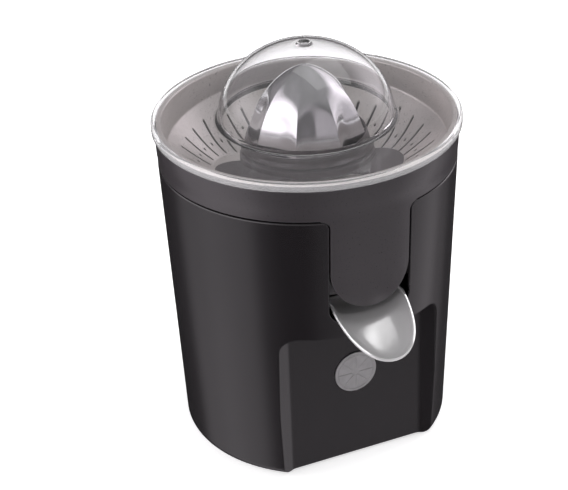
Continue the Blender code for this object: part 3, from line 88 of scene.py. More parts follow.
def turned(name, profile, steps=160, closed=True, centre=(0, None)):  # profile: (radius, height) points
    middle = (centre[0], axisY if centre[1] is None else centre[1])
    work = bmesh.new()
    rings = []
    for radius, height in profile:
        count = 1 if radius < 0.01 * mm else steps
        ring = []
        for index in range(count):
            angle = 2 * math.pi * index / steps
            ring.append(work.verts.new((middle[0] + radius * math.cos(angle),
                                        middle[1] + radius * math.sin(angle), height)))
        rings.append(ring)
    pairs = list(zip(rings, rings[1:]))
    if closed:
        pairs.append((rings[-1], rings[0]))
    for first, second in pairs:
        for index in range(steps):
            after = (index + 1) % steps
            corners = [first[index % len(first)], second[index % len(second)],
                       second[after % len(second)], first[after % len(first)]]
            corners = list(dict.fromkeys(corners))
            if len(corners) > 2:
                work.faces.new(corners)
    return newPiece(name, meshFrom(work, name))


def prism(name, outline, low, high, upright=False):  # upright: the outline is in x and z, and runs along y
    work = bmesh.new()
    near, far = [], []
    for across, along in outline:
        near.append(work.verts.new((across, low, along) if upright else (across, along + axisY, low)))
        far.append(work.verts.new((across, high, along) if upright else (across, along + axisY, high)))
    work.faces.new(near)
    work.faces.new(far)
    for index in range(len(near)):
        after = (index + 1) % len(near)
        work.faces.new((near[index], near[after], far[after], far[index]))
    return newPiece(name, meshFrom(work, name))


def rod(name, start, end, radius, sides=48):
    run = Vector(end) - Vector(start)
    turn = run.to_track_quat("Z", "Y").to_matrix().to_4x4()
    place = Matrix.Translation(Vector(start) + run / 2) @ turn
    work = bmesh.new()
    bmesh.ops.create_cone(work, cap_ends=True, segments=sides, radius1=radius, radius2=radius,
                          depth=run.length, matrix=place)
    return newPiece(name, meshFrom(work, name))


def block(name, low, high, turn=0.0, rounding=0.0):
    work = bmesh.new()
    size = Vector(high) - Vector(low)
    place = Matrix.Translation((Vector(high) + Vector(low)) / 2) @ Matrix.Diagonal((*size, 1))
    bmesh.ops.create_cube(work, size=1, matrix=place)
    if rounding:
        bmesh.ops.bevel(work, geom=list(work.edges), offset=rounding, segments=3, profile=0.5,
                        affect="EDGES")
    there = Matrix.Translation((0, axisY, 0))
    back = Matrix.Translation((0, -axisY, 0))
    about = there @ Matrix.Rotation(turn, 4, "Z") @ back
    bmesh.ops.transform(work, matrix=about, verts=work.verts)
    return newPiece(name, meshFrom(work, name))


def applied(piece):
    graph = bpy.context.evaluated_depsgraph_get()
    mesh = bpy.data.meshes.new_from_object(piece.evaluated_get(graph))
    piece.modifiers.clear()
    piece.data = mesh
    return piece


def carve(piece, *tools, how="DIFFERENCE"):
    for tool in tools:
        change = piece.modifiers.new("carve", "BOOLEAN")
        change.operation = how
        change.solver = "EXACT"
        change.object = tool
    applied(piece)
    for tool in tools:
        bpy.data.objects.remove(tool)
    return piece


def join(piece, *others):
    return carve(piece, *others, how="UNION")


def arc(centre, radius, start, end, count):
    points = []
    for index in range(count + 1):
        angle = math.radians(start + (end - start) * index / count)
        points.append((centre[0] + radius * math.cos(angle), centre[1] + radius * math.sin(angle)))
    return points


def softened(outline, radius, count=5, closed=True, only=None):  # rounds an outline's corners with arcs
    made = []
    for index, point in enumerate(outline):
        if (not closed and index in (0, len(outline) - 1)) or (only is not None and index not in only):
            made.append(point)
            continue
        here = Vector(point)
        back = (Vector(outline[index - 1]) - here)
        ahead = (Vector(outline[(index + 1) % len(outline)]) - here)
        reach = min(radius, back.length * 0.45, ahead.length * 0.45)
        back.normalize()
        ahead.normalize()
        half = math.acos(max(-1.0, min(1.0, back.dot(ahead)))) / 2
        if half > math.radians(86):
            made.append(point)
            continue
        tangent = min(reach / math.tan(half), reach * 1.6)
        bend = tangent * math.tan(half)
        middle = here + (back + ahead).normalized() * (bend / math.sin(half))
        first = here + back * tangent - middle
        last = here + ahead * tangent - middle
        sweep = math.atan2(first.x * last.y - first.y * last.x, first.dot(last))
        for step in range(count + 1):
            angle = sweep * step / count
            made.append((middle.x + first.x * math.cos(angle) - first.y * math.sin(angle),
                         middle.y + first.x * math.sin(angle) + first.y * math.cos(angle)))
    return made


def smooth(piece, angle=32):
    piece.data.shade_smooth()
    piece.data.set_sharp_from_angle(angle=math.radians(angle))
    return piece


def place(piece, body, slotName, look, *nodes):  # sets a piece's finish, body and the nodes it stands for
    piece.data.materials.clear()
    piece.data.materials.append(look)
    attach(piece, body)
    if nodes:
        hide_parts(*nodes)
    return piece


# finishes
def startFinish(name):
    made = bpy.data.materials.new(name)
    made.use_nodes = True
    nodes = made.node_tree.nodes
    return made, nodes, made.node_tree.links, nodes["Principled BSDF"]


def noiseIn(nodes, links, vector, scale, detail=3.0, rough=0.55):
    noise = nodes.new("ShaderNodeTexNoise")
    noise.inputs["Scale"].default_value = scale
    noise.inputs["Detail"].default_value = detail
    noise.inputs["Roughness"].default_value = rough
    links.new(vector, noise.inputs["Vector"])
    return noise.outputs["Fac"]


def spread(nodes, links, value, low, high, start=0.3, end=0.7):
    ranged = nodes.new("ShaderNodeMapRange")
    ranged.inputs["From Min"].default_value = start
    ranged.inputs["From Max"].default_value = end
    ranged.inputs["To Min"].default_value = low
    ranged.inputs["To Max"].default_value = high
    links.new(value, ranged.inputs["Value"])
    return ranged.outputs["Result"]


def blendColours(nodes, links, value, first, second):
    ramp = nodes.new("ShaderNodeValToRGB")
    ramp.color_ramp.elements[0].position = 0.3
    ramp.color_ramp.elements[1].position = 0.7
    ramp.color_ramp.elements[0].color = (*first, 1)
    ramp.color_ramp.elements[1].color = (*second, 1)
    links.new(value, ramp.inputs["Fac"])
    return ramp.outputs["Color"]


def finish(name, look):  # mottled colour, uneven gloss, a fine surface and softened edges
    made, nodes, links, shader = startFinish(name)
    coords = nodes.new("ShaderNodeTexCoord")
    mapping = nodes.new("ShaderNodeMapping")
    mapping.inputs["Scale"].default_value = look.get("stretch", (1, 1, 1))
    links.new(coords.outputs["Object"], mapping.inputs["Vector"])
    vector = mapping.outputs["Vector"]
    broad = noiseIn(nodes, links, vector, look["patch"])
    fine = noiseIn(nodes, links, vector, look["grain"], 4.0)
    links.new(blendColours(nodes, links, broad, look["colour"], look["second"]),
              shader.inputs["Base Color"])
    low, high = look["rough"]
    links.new(spread(nodes, links, fine, low, high), shader.inputs["Roughness"])
    shader.inputs["Metallic"].default_value = look.get("metal", 0.0)
    shader.inputs["Specular IOR Level"].default_value = look.get("specular", 0.5)
    shader.inputs["Coat Weight"].default_value = look.get("coat", 0.0)
    shader.inputs["Coat Roughness"].default_value = look.get("coatRough", 0.1)
    bump = nodes.new("ShaderNodeBump")
    bump.inputs["Strength"].default_value = look["bump"]
    bump.inputs["Distance"].default_value = look.get("depth", 0.1 * mm)
    height = fine
    if look.get("rings"):  # fine turning marks round the drive axis
        rings = nodes.new("ShaderNodeTexWave")
        rings.wave_type = "RINGS"
        rings.rings_direction = "Z"
        rings.inputs["Scale"].default_value = look["rings"]
        rings.inputs["Distortion"].default_value = 0.6
        rings.inputs["Detail"].default_value = 2.0
        shift = nodes.new("ShaderNodeMapping")
        shift.inputs["Location"].default_value = (0, -axisY, 0)
        links.new(coords.outputs["Object"], shift.inputs["Vector"])
        links.new(shift.outputs["Vector"], rings.inputs["Vector"])
        height = rings.outputs["Fac"]
    if look.get("bands"):  # windings or stacked sheets
        bands = nodes.new("ShaderNodeTexWave")
        bands.wave_type = "BANDS"
        bands.bands_direction = look["along"]
        bands.inputs["Scale"].default_value = look["bands"]
        bands.inputs["Distortion"].default_value = look.get("wander", 0.3)
        links.new(coords.outputs["Object"], bands.inputs["Vector"])
        height = bands.outputs["Fac"]
    links.new(height, bump.inputs["Height"])
    if look.get("edge"):
        edge = nodes.new("ShaderNodeBevel")
        edge.samples = 6
        edge.inputs["Radius"].default_value = look["edge"]
        links.new(edge.outputs["Normal"], bump.inputs["Normal"])
    links.new(bump.outputs["Normal"], shader.inputs["Normal"])
    return made


bodyPaint = dict(colour=(0.0095, 0.0078, 0.0092), second=(0.0115, 0.0095, 0.0112), patch=14, grain=1500,
                 rough=(0.20, 0.25), bump=0.012, depth=0.03 * mm, specular=0.9, coat=0.25, coatRough=0.12,
                 edge=1.1 * mm)
# the collector ring: the body's paint with a rougher gloss and a lighter base colour, a painted sheen
# standing in for the ring's brighter reflection
ringPaintPaintedSheen = dict(bodyPaint, colour=(0.036, 0.031, 0.035), second=(0.042, 0.0365, 0.041), rough=(0.27, 0.32))
darkPlastic = dict(colour=(0.060, 0.051, 0.055), second=(0.078, 0.067, 0.072), patch=30, grain=1200,
                   rough=(0.36, 0.48), bump=0.12, depth=0.06 * mm, edge=0.5 * mm)
satinSteel = dict(colour=(0.66, 0.62, 0.605), second=(0.74, 0.70, 0.685), patch=40, grain=900,
                  rough=(0.26, 0.36), bump=0.10, depth=0.03 * mm, metal=0.7, rings=900)
polishedSteel = dict(colour=(0.80, 0.79, 0.80), second=(0.86, 0.85, 0.86), patch=25, grain=700,
                     rough=(0.05, 0.10), bump=0.02, depth=0.02 * mm, metal=1.0, edge=0.4 * mm)
# the cone: polished steel with a darker base colour, painted shade that keeps the cone grey under the dome
coneSteelPaintedShade = dict(polishedSteel, colour=(0.72, 0.715, 0.735), second=(0.78, 0.775, 0.795),
                 rough=(0.13, 0.18))
# the spout: polished steel made lighter and partly diffuse, a painted highlight that keeps it bright white
spoutSteelPaintedHighlight = dict(polishedSteel, colour=(0.90, 0.89, 0.90), second=(0.96, 0.955, 0.96), rough=(0.10, 0.15),
                  metal=0.55)
plainSteel = dict(colour=(0.50, 0.49, 0.48), second=(0.60, 0.59, 0.58), patch=120, grain=1400,
                  rough=(0.22, 0.40), bump=0.10, depth=0.03 * mm, metal=1.0, edge=0.25 * mm)
rubber = dict(colour=(0.016, 0.016, 0.017), second=(0.028, 0.027, 0.028), patch=90, grain=1800,
              rough=(0.62, 0.85), bump=0.25, depth=0.08 * mm, edge=0.4 * mm)
nylon = dict(colour=(0.72, 0.71, 0.66), second=(0.80, 0.79, 0.75), patch=60, grain=900, rough=(0.38, 0.52),
             bump=0.10, depth=0.05 * mm, edge=0.2 * mm)
brass = dict(colour=(0.72, 0.52, 0.22), second=(0.83, 0.63, 0.32), patch=90, grain=1100, rough=(0.20, 0.36),
             bump=0.08, depth=0.03 * mm, metal=1.0, edge=0.2 * mm)
copper = dict(colour=(0.55, 0.20, 0.08), second=(0.78, 0.36, 0.17), patch=160, grain=600,
              rough=(0.22, 0.38), bump=0.9, depth=0.35 * mm, metal=0.8, coat=0.5, bands=330, along="X")
ferrite = dict(colour=(0.06, 0.06, 0.065), second=(0.10, 0.10, 0.105), patch=200, grain=2200,
               rough=(0.5, 0.7), bump=0.4, depth=0.06 * mm, edge=0.3 * mm)
lamination = dict(colour=(0.20, 0.20, 0.22), second=(0.32, 0.32, 0.34), patch=120, grain=900,
                  rough=(0.35, 0.55), bump=0.7, depth=0.12 * mm, metal=0.8, bands=310, along="Z",
                  wander=0.0)
silverPrint = dict(colour=(0.50, 0.49, 0.50), second=(0.58, 0.57, 0.58), patch=200, grain=1500,
                   rough=(0.30, 0.42), bump=0.08, depth=0.03 * mm, metal=0.7, edge=0.2 * mm)


def clearFinish():
    look = dict(tint=(0.990, 0.984, 0.995), second=(0.996, 0.992, 0.998), rough=(0.0, 0.03), ior=1.46,
                clear=0.99, lip=0.84, blend=0.6 * mm)
    made, nodes, links, shader = startFinish("clearPlastic")
    coords = nodes.new("ShaderNodeTexCoord")
    broad = noiseIn(nodes, links, coords.outputs["Object"], 30)
    fine = noiseIn(nodes, links, coords.outputs["Object"], 260)
    links.new(blendColours(nodes, links, broad, look["tint"], look["second"]), shader.inputs["Base Color"])
    links.new(spread(nodes, links, fine, *look["rough"]), shader.inputs["Roughness"])
    shift = nodes.new("ShaderNodeMapping")  # the lip is milkier than the dome and the brim
    shift.inputs["Location"].default_value = (0, -axisY, 0)
    shift.inputs["Scale"].default_value = (1, 1, 0)
    links.new(coords.outputs["Object"], shift.inputs["Vector"])
    distance = nodes.new("ShaderNodeVectorMath")
    distance.operation = "LENGTH"
    links.new(shift.outputs["Vector"], distance.inputs[0])
    edge = rimRadius - lidSize["lipWidth"]
    milky = spread(nodes, links, distance.outputs["Value"], look["clear"], look["lip"],
                   edge - look["blend"], edge)
    links.new(milky, shader.inputs["Transmission Weight"])
    shader.inputs["IOR"].default_value = look["ior"]
    bump = nodes.new("ShaderNodeBump")
    bump.inputs["Strength"].default_value = 0.03
    bump.inputs["Distance"].default_value = 0.1 * mm
    links.new(broad, bump.inputs["Height"])
    links.new(bump.outputs["Normal"], shader.inputs["Normal"])
    return made


finishes = {
    "charcoal_body": finish("charcoalPaint", bodyPaint), "ring": finish("ringPaintPaintedSheen", ringPaintPaintedSheen),
    "dark_plastic": finish("darkPlastic", darkPlastic), "strainer_steel": finish("satinSteel", satinSteel),
    "cone": finish("coneSteelPaintedShade", coneSteelPaintedShade), "polished_steel": finish("spoutSteelPaintedHighlight", spoutSteelPaintedHighlight),
    "plain_steel": finish("plainSteel", plainSteel),
    "black_rubber": finish("blackRubber", rubber), "white_nylon": finish("whiteNylon", nylon),
    "brass": finish("brassMetal", brass), "copper_winding": finish("copperWinding", copper),
    "ferrite": finish("ferrite", ferrite), "lamination": finish("lamination", lamination),
    "pale_badge": finish("silverPrint", silverPrint), "clear_lid": clearFinish()}

for row in frame["record"]["subparts"]:
    carried = frame["nodes"][row["node"]]
    carried.data.materials.clear()
    carried.data.materials.append(finishes[row["material_slot"]])
print("finishes: %d materials on %d carried nodes" % (len(finishes), len(frame["nodes"])))


# clear lid: a dome on a nearly flat brim, with a rolled outer lip
def makeLid():
    size = lidSize
    brim = topZ - size["dish"]
    rows = 34
    outer = []
    for index in range(rows + 1):
        angle = math.radians(90 * (1 - index / rows))
        outer.append((size["domeRadius"] * math.cos(angle), brim + size["domeHeight"] * math.sin(angle)))
    apex = outer[0][1]
    cap = size["bossRadius"]
    boss = [(0, apex + 0.25 * mm), (2.0 * mm, apex + 0.25 * mm), (2.5 * mm, apex + 0.5 * mm),
            (2.9 * mm, apex + 1.0 * mm), (3.3 * mm, apex + size["bossHeight"]),
            (4.2 * mm, apex + size["bossHeight"]), (4.7 * mm, apex + 0.9 * mm), (cap, apex - 0.1 * mm)]
    outer = boss + [point for point in outer if point[0] > cap + 0.4 * mm]
    root = arc((size["domeRadius"] + size["root"], brim + size["root"] * 0.85), size["root"] * 0.85,
               195, 268, 5)
    outer = [point for point in outer if point[1] > root[0][1]] + root
    lip = [(rimRadius - 3.2 * mm, topZ - 0.2 * mm)]
    lip += arc((rimRadius - 1.7 * mm, topZ - 1.7 * mm), 1.7 * mm, 95, 0, 7)
    lip += arc((rimRadius - 0.8 * mm, topZ - lipHeight + 0.8 * mm), 0.8 * mm, 0, -90, 3)
    lip += [(rimRadius - size["lipWidth"], topZ - lipHeight)]
    under = [(rimRadius - size["lipWidth"], topZ - size["sheet"] - 0.6 * mm),
             (rimRadius - size["lipWidth"] - 0.6 * mm, topZ - size["sheet"]),
             (size["domeRadius"] + size["root"], brim - size["sheet"]),
             (size["domeRadius"] - size["sheet"] + 0.4 * mm, brim - size["sheet"])]
    inner = []
    for index in range(rows + 1):
        angle = math.radians(90 * index / rows)
        inner.append(((size["domeRadius"] - size["sheet"]) * math.cos(angle),
                      brim + (size["domeHeight"] - size["sheet"]) * math.sin(angle)))
    lid = turned("clearLid", outer + lip + under + inner, steps=192, closed=False)
    lid.visible_shadow = False
    return place(smooth(lid, 40), "lid", "clear_lid", finishes["clear_lid"], "lid")


makeLid()
print("lid made")

# strainer: pressed flange, wall and funnel, with long slots and small round holes between them
strainerSize = dict(sheet=0.8 * mm, wallDepth=20.6 * mm, angle=math.radians(40), inner=61 * mm,
                    footRadius=30 * mm, footDrop=5 * mm, sideRadius=14.5 * mm, bore=11.6 * mm,
                    rest=1.5 * mm, slots=36, slotWidth=2.0 * mm, slotInner=62 * mm, slotOuter=80 * mm,
                    holeRadius=1.0 * mm, holeAt=69 * mm)
tubeTopZ = topZ - 40 * mm
neckRadius = rimRadius - 3.1 * mm
ringInner = ringRadius - 2.9 * mm


def strainerWall():
    return ringInner - 0.8 * mm - strainerSize["sheet"] - 1 * mm


def funnelZ(radius):
    return topZ - strainerSize["wallDepth"] - (strainerWall() - radius) * math.tan(strainerSize["angle"])


def makeStrainer():
    size = strainerSize
    sheet = size["sheet"]
    side = strainerWall()
    flange = topZ - lidSize["sheet"] - 0.3 * mm
    corner = topZ - size["wallDepth"]
    innerZ = funnelZ(size["inner"])
    hubTop = tubeTopZ + size["rest"]
    face = [(neckRadius, flange), (side + 1 * mm, flange), (side, corner), (size["inner"], innerZ),
            (size["footRadius"] + sheet, innerZ - size["footDrop"]),
            (size["sideRadius"], hubTop - 0.3 * mm), (size["bore"], hubTop)]
    back = [(size["bore"], hubTop - sheet), (size["sideRadius"] - sheet, hubTop - sheet - 1 * mm),
            (size["footRadius"], innerZ - size["footDrop"] - sheet),
            (size["inner"] + sheet / 2, innerZ - sheet), (side + sheet, corner - sheet / 2),
            (side + sheet + 1 * mm, flange - sheet), (neckRadius, flange - sheet)]
    profile = softened(face, 3.0 * mm, 4, closed=False) + softened(back, 3.0 * mm, 4, closed=False)
    strainer = turned("strainerBasket", profile, steps=180)
    low = funnelZ(size["slotInner"]) - 6 * mm
    high = funnelZ(size["slotOuter"]) + 3 * mm
    work = bmesh.new()
    half = size["slotWidth"] / 2
    for index in range(size["slots"]):
        turn = 2 * math.pi * index / size["slots"]
        rounded = arc((size["slotOuter"] - half, 0), half, -90, 90, 6)
        rounded += arc((size["slotInner"] + half, 0), half, 90, 270, 6)
        hole = arc((size["holeAt"], 0), size["holeRadius"], 0, 324, 9)
        for outline, way in ((rounded, turn), (hole, turn + math.pi / size["slots"])):
            lower, upper = [], []
            for across, along in outline:
                x = across * math.cos(way) - along * math.sin(way)
                y = across * math.sin(way) + along * math.cos(way) + axisY
                lower.append(work.verts.new((x, y, low)))
                upper.append(work.verts.new((x, y, high)))
            work.faces.new(lower)
            work.faces.new(upper)
            for step in range(len(lower)):
                after = (step + 1) % len(lower)
                work.faces.new((lower[step], lower[after], upper[after], upper[step]))
    carve(strainer, newPiece("slotTool", meshFrom(work, "slotTool")))
    return place(smooth(strainer, 28), "strainer", "strainer_steel", finishes["strainer_steel"], "strainer")


makeStrainer()
print("strainer made")

# reaming cone: thin polished shell with crisp ribs and hollow flutes between them
coneSize = dict(radius=38.6 * mm, rise=31 * mm, drop=19.5 * mm, sheet=1.2 * mm, ribs=8,
                phase=math.radians(10.6), flute=0.13, fade=(0.40, 0.84), form=(0.43, 4.4, 0.78),
                pip=1.2 * mm, perRib=26, rows=60, skirt=7 * mm, skirtProud=0.6 * mm)


def coneRadius(share):
    taper, shoulder, roundness = coneSize["form"]
    return coneSize["radius"] * (1 - taper * share) * (1 - min(share, 1.0) ** shoulder) ** roundness


def makeCone():
    size = coneSize
    base = topZ - size["drop"]
    full = size["rise"] + size["drop"]
    around = size["ribs"] * size["perRib"]

    def fluted(share, index):
        straight = coneRadius(share)
        start, end = size["fade"]
        away = min(max((share - start) / (end - start), 0.0), 1.0)
        depth = size["flute"] * (1 - away * away * (3 - 2 * away))
        position = (index % size["perRib"]) / size["perRib"]
        return straight * (1 - depth * math.sin(math.pi * position))

    def skin(work, inset, lift):
        rings = []
        for row in range(size["rows"] + 1):
            share = 1 - (1 - row / size["rows"]) ** 1.7
            ring = []
            for index in range(around):
                angle = size["phase"] + 2 * math.pi * index / around
                radius = max(fluted(share, index) - inset, size["pip"] - inset * 0.8)
                ring.append(work.verts.new((radius * math.cos(angle), axisY + radius * math.sin(angle),
                                            base + share * full - lift * share)))
            rings.append(ring)
        for lower, upper in zip(rings, rings[1:]):
            for index in range(around):
                after = (index + 1) % around
                work.faces.new((lower[index], lower[after], upper[after], upper[index]))
        work.faces.new(rings[-1])
        return rings[0]

    work = bmesh.new()
    outside = skin(work, 0, 0)
    inside = skin(work, size["sheet"], size["sheet"])
    for index in range(around):
        after = (index + 1) % around
        work.faces.new((outside[index], outside[after], inside[after], inside[index]))
    cone = newPiece("reamingCone", meshFrom(work, "reamingCone"))
    place(smooth(cone, 24), "cone", "polished_steel", finishes["cone"], "reaming_cone")
    proud = size["skirtProud"]
    skirt = []
    for index in range(7):
        height = size["skirt"] * index / 6
        skirt.append((coneRadius(height / full) + proud, base + height))
    inner = [(radius - proud - 0.4 * mm, height) for radius, height in reversed(skirt)]
    outer = skirt[:-1] + arc((skirt[-1][0] - 0.6 * mm, skirt[-1][1]), 0.6 * mm, 10, 90, 4)
    band = turned("coneSkirt", outer + inner, steps=144)
    place(smooth(band), "cone", "dark_plastic", finishes["dark_plastic"])


makeCone()
print("cone made")

# pulp sweeper: a collar under the cone with lobed wings, each with a blade in the funnel
sweeperSize = dict(radius=40.3 * mm, height=9 * mm, count=3, reach=64 * mm, thick=3 * mm,
                   phase=math.radians(186), rise=math.radians(22), fall=math.radians(48),
                   below=3 * mm, skin=3 * mm)


def makeSweeper():
    size = sweeperSize
    low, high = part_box("pulp_sweeper")
    top = topZ - coneSize["drop"] - size["below"]
    bottom = top - size["height"]
    under = top - size["skin"]
    rest = tubeTopZ + strainerSize["rest"] + 0.3 * mm
    bore = 9.2 * mm
    tube = strainerSize["bore"] + 4.5 * mm
    radius = size["radius"]
    profile = [(bore, top), (radius - 2.2 * mm, top)]
    profile += arc((radius - 2.2 * mm, top - 2.2 * mm), 2.2 * mm, 80, 8, 5)
    profile += [(radius + 0.8 * mm, bottom), (radius - 2 * mm, bottom), (radius - 2.4 * mm, under),
                (tube, under), (tube, rest), (bore, rest)]
    sweeper = turned("pulpSweeper", profile, steps=144)

    def reach(angle):
        if angle < 0:
            share = 1 + angle / size["rise"]
        else:
            share = 1 - angle / size["fall"]
        if share <= 0:
            return radius - 0.4 * mm
        return radius + (size["reach"] - radius) * math.sin(share * math.pi / 2) ** 0.9

    spacing = 2 * math.pi / size["count"]
    inner = radius - 1.5 * mm
    plate = bottom + 0.6 * mm
    steps = 288
    work = bmesh.new()
    rings = []
    for height, wide in ((plate, True), (plate + size["thick"], True), (plate + size["thick"], False),
                         (plate, False)):
        ring = []
        for index in range(steps):
            angle = 2 * math.pi * index / steps
            relative = (angle - size["phase"] + spacing / 2) % spacing - spacing / 2
            distance = reach(relative) if wide else inner
            ring.append(work.verts.new((distance * math.cos(angle), axisY + distance * math.sin(angle),
                                        height)))
        rings.append(ring)
    for first, second in zip(rings, rings[1:] + rings[:1]):
        for index in range(steps):
            after = (index + 1) % steps
            work.faces.new((first[index], second[index], second[after], first[after]))
    join(sweeper, newPiece("wings", meshFrom(work, "wings")))
    for index in range(size["count"]):
        angle = size["phase"] + spacing * index + math.radians(4)
        join(sweeper, block("blade", (radius - 1.6 * mm, axisY - 1 * mm, low.z),
                            (size["reach"] - 3 * mm, axisY + 1 * mm, bottom + 1.6 * mm), angle, 0.6 * mm))
    return place(smooth(sweeper), "sweeper", "dark_plastic", finishes["dark_plastic"], "pulp_sweeper")


makeSweeper()
print("sweeper made")

# juice collector: ring and tongue on the outside, a sloping bowl, the tube and the outlet inside
collectorSize = dict(tongue=25.4 * mm, tongueDrop=89 * mm, corner=5.1 * mm, bowlWall=2.2 * mm,
                     floorDrop=84.2 * mm, fall=2.2 * mm, outletY=72 * mm, outletRadius=6.5 * mm,
                     outletBore=4.5 * mm, tilt=math.radians(20), crease=6.5 * mm)
spoutSize = dict(halfWidth=24 * mm, length=42.9 * mm, tilt=math.radians(27), depth=9.5 * mm, sheet=1 * mm,
                 rootY=82.7 * mm, rimDrop=88 * mm, pinY=63.5 * mm, pinRadius=1.55 * mm, earRadius=3.6 * mm,
                 earInset=1.2 * mm, earThickness=1.6 * mm)
pinZ = topZ - spoutSize["rimDrop"] - 1 * mm


def openingOutline(half, bottom, endHeight, corner, top):
    seam = ringSeamZ
    left = [(-half - corner, top), (-half - corner, seam)]
    left += arc((-half - corner, seam - corner), corner, 90, 0, 8)[1:]
    curve = arc((0, 0), half, 180, 360, 44)
    end = [(across, bottom + endHeight * (1 + along / half)) for across, along in curve]
    right = [(-across, along) for across, along in reversed(left)]
    return left + end + right


def makeCollector():
    size = collectorSize
    seam = ringSeamZ
    floor = topZ - size["floorDrop"]
    outlet = floor + size["bowlWall"]
    skirt = topZ - size["tongueDrop"]
    bowlOuter = bodyRadius(floor) - wall - 1.5 * mm
    bowlInner = bowlOuter - size["bowlWall"]
    tubeInner = 8.4 * mm
    tubeOuter = tubeInner + 2 * mm
    gutter = size["outletY"] + 2 * mm
    neckTop = topZ - lidSize["sheet"] - 0.3 * mm - strainerSize["sheet"] - 0.3 * mm
    crease = seam + size["crease"]
    profile = [(neckRadius, neckTop), (neckRadius, shoulderZ), (ringRadius - 0.8 * mm, shoulderZ)]
    profile += arc((ringRadius - 0.8 * mm, shoulderZ - 0.8 * mm), 0.8 * mm, 75, 0, 4)
    profile += [(bodyRadius(crease + 1 * mm) + 0.05 * mm, crease + 1 * mm),
                (bodyRadius(crease) - 0.22 * mm, crease),
                (bodyRadius(seam + 0.9 * mm) - 0.1 * mm, seam + 0.9 * mm), (bodyRadius(skirt), skirt),
                (bodyRadius(skirt) - wall, skirt), (bodyRadius(seam) - wall, seam - size["bowlWall"]),
                (bowlOuter, seam - size["bowlWall"]), (bowlOuter - 0.5 * mm, floor + 8 * mm)]
    profile += [(bowlOuter - 1.6 * mm, floor + 4.2 * mm), (bowlOuter - 4.5 * mm, floor + size["fall"]),
                (gutter, floor), (tubeInner, floor + size["fall"]), (tubeInner, tubeTopZ - 0.4 * mm),
                (tubeInner + 0.4 * mm, tubeTopZ), (tubeOuter - 0.4 * mm, tubeTopZ),
                (tubeOuter, tubeTopZ - 0.4 * mm), (tubeOuter, outlet + size["fall"] + 1.5 * mm),
                (tubeOuter + 1.5 * mm, outlet + size["fall"]), (gutter, outlet),
                (bowlInner - 4.2 * mm, outlet + size["fall"]),
                (bowlInner - 1.4 * mm, outlet + size["fall"] + 2 * mm),
                (bowlInner - 0.3 * mm, floor + 9 * mm), (bowlInner, seam - 1.7 * mm),
                (ringInner, seam + 4 * mm), (ringInner, neckTop)]
    collector = turned("juiceCollector", profile, steps=180)
    away = turned("skirtTool",
                  [(rimRadius + 5 * mm, seam + 0.7 * mm), (rimRadius + 5 * mm, skirt - 5 * mm),
                   (bowlOuter + 0.4 * mm, skirt - 5 * mm), (bowlOuter + 0.4 * mm, seam + 0.7 * mm)],
                  steps=180)
    outline = openingOutline(size["tongue"], skirt, size["tongue"], size["corner"], seam + 8 * mm)
    carve(away, prism("tongueTool", outline, axisY - rimRadius - 10 * mm, axisY - bowlOuter * 0.5, True))
    carve(collector, away)
    axis = Vector((0, -math.sin(size["tilt"]), -math.cos(size["tilt"])))
    start = Vector((0, axisY - size["outletY"], outlet))
    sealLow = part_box("outlet_seal")[0]
    reach = (outlet - sealLow.z) / math.cos(size["tilt"]) - 5.2 * mm
    join(collector, rod("nozzle", start + axis * 0.8 * mm, start + axis * reach, size["outletRadius"]))
    carve(collector, rod("bore", start - axis * 6 * mm, start + axis * (reach + 2 * mm),
                         size["outletBore"]))
    for side in (-1, 1):
        middle = side * 18.75 * mm
        join(collector,
             block("lug", (middle - 1.25 * mm, axisY - spoutSize["pinY"] - 3 * mm, pinZ - 3 * mm),
                   (middle + 1.25 * mm, axisY - spoutSize["pinY"] + 3 * mm, floor + 1.2 * mm)))
    pinY = axisY - spoutSize["pinY"]
    carve(collector, rod("pinTool", (-spoutSize["halfWidth"], pinY, pinZ),
                         (spoutSize["halfWidth"], pinY, pinZ), spoutSize["pinRadius"], 32))
    return place(smooth(collector), "collector", "dark_plastic", finishes["ring"], "juice_collector")


makeCollector()
print("collector made")
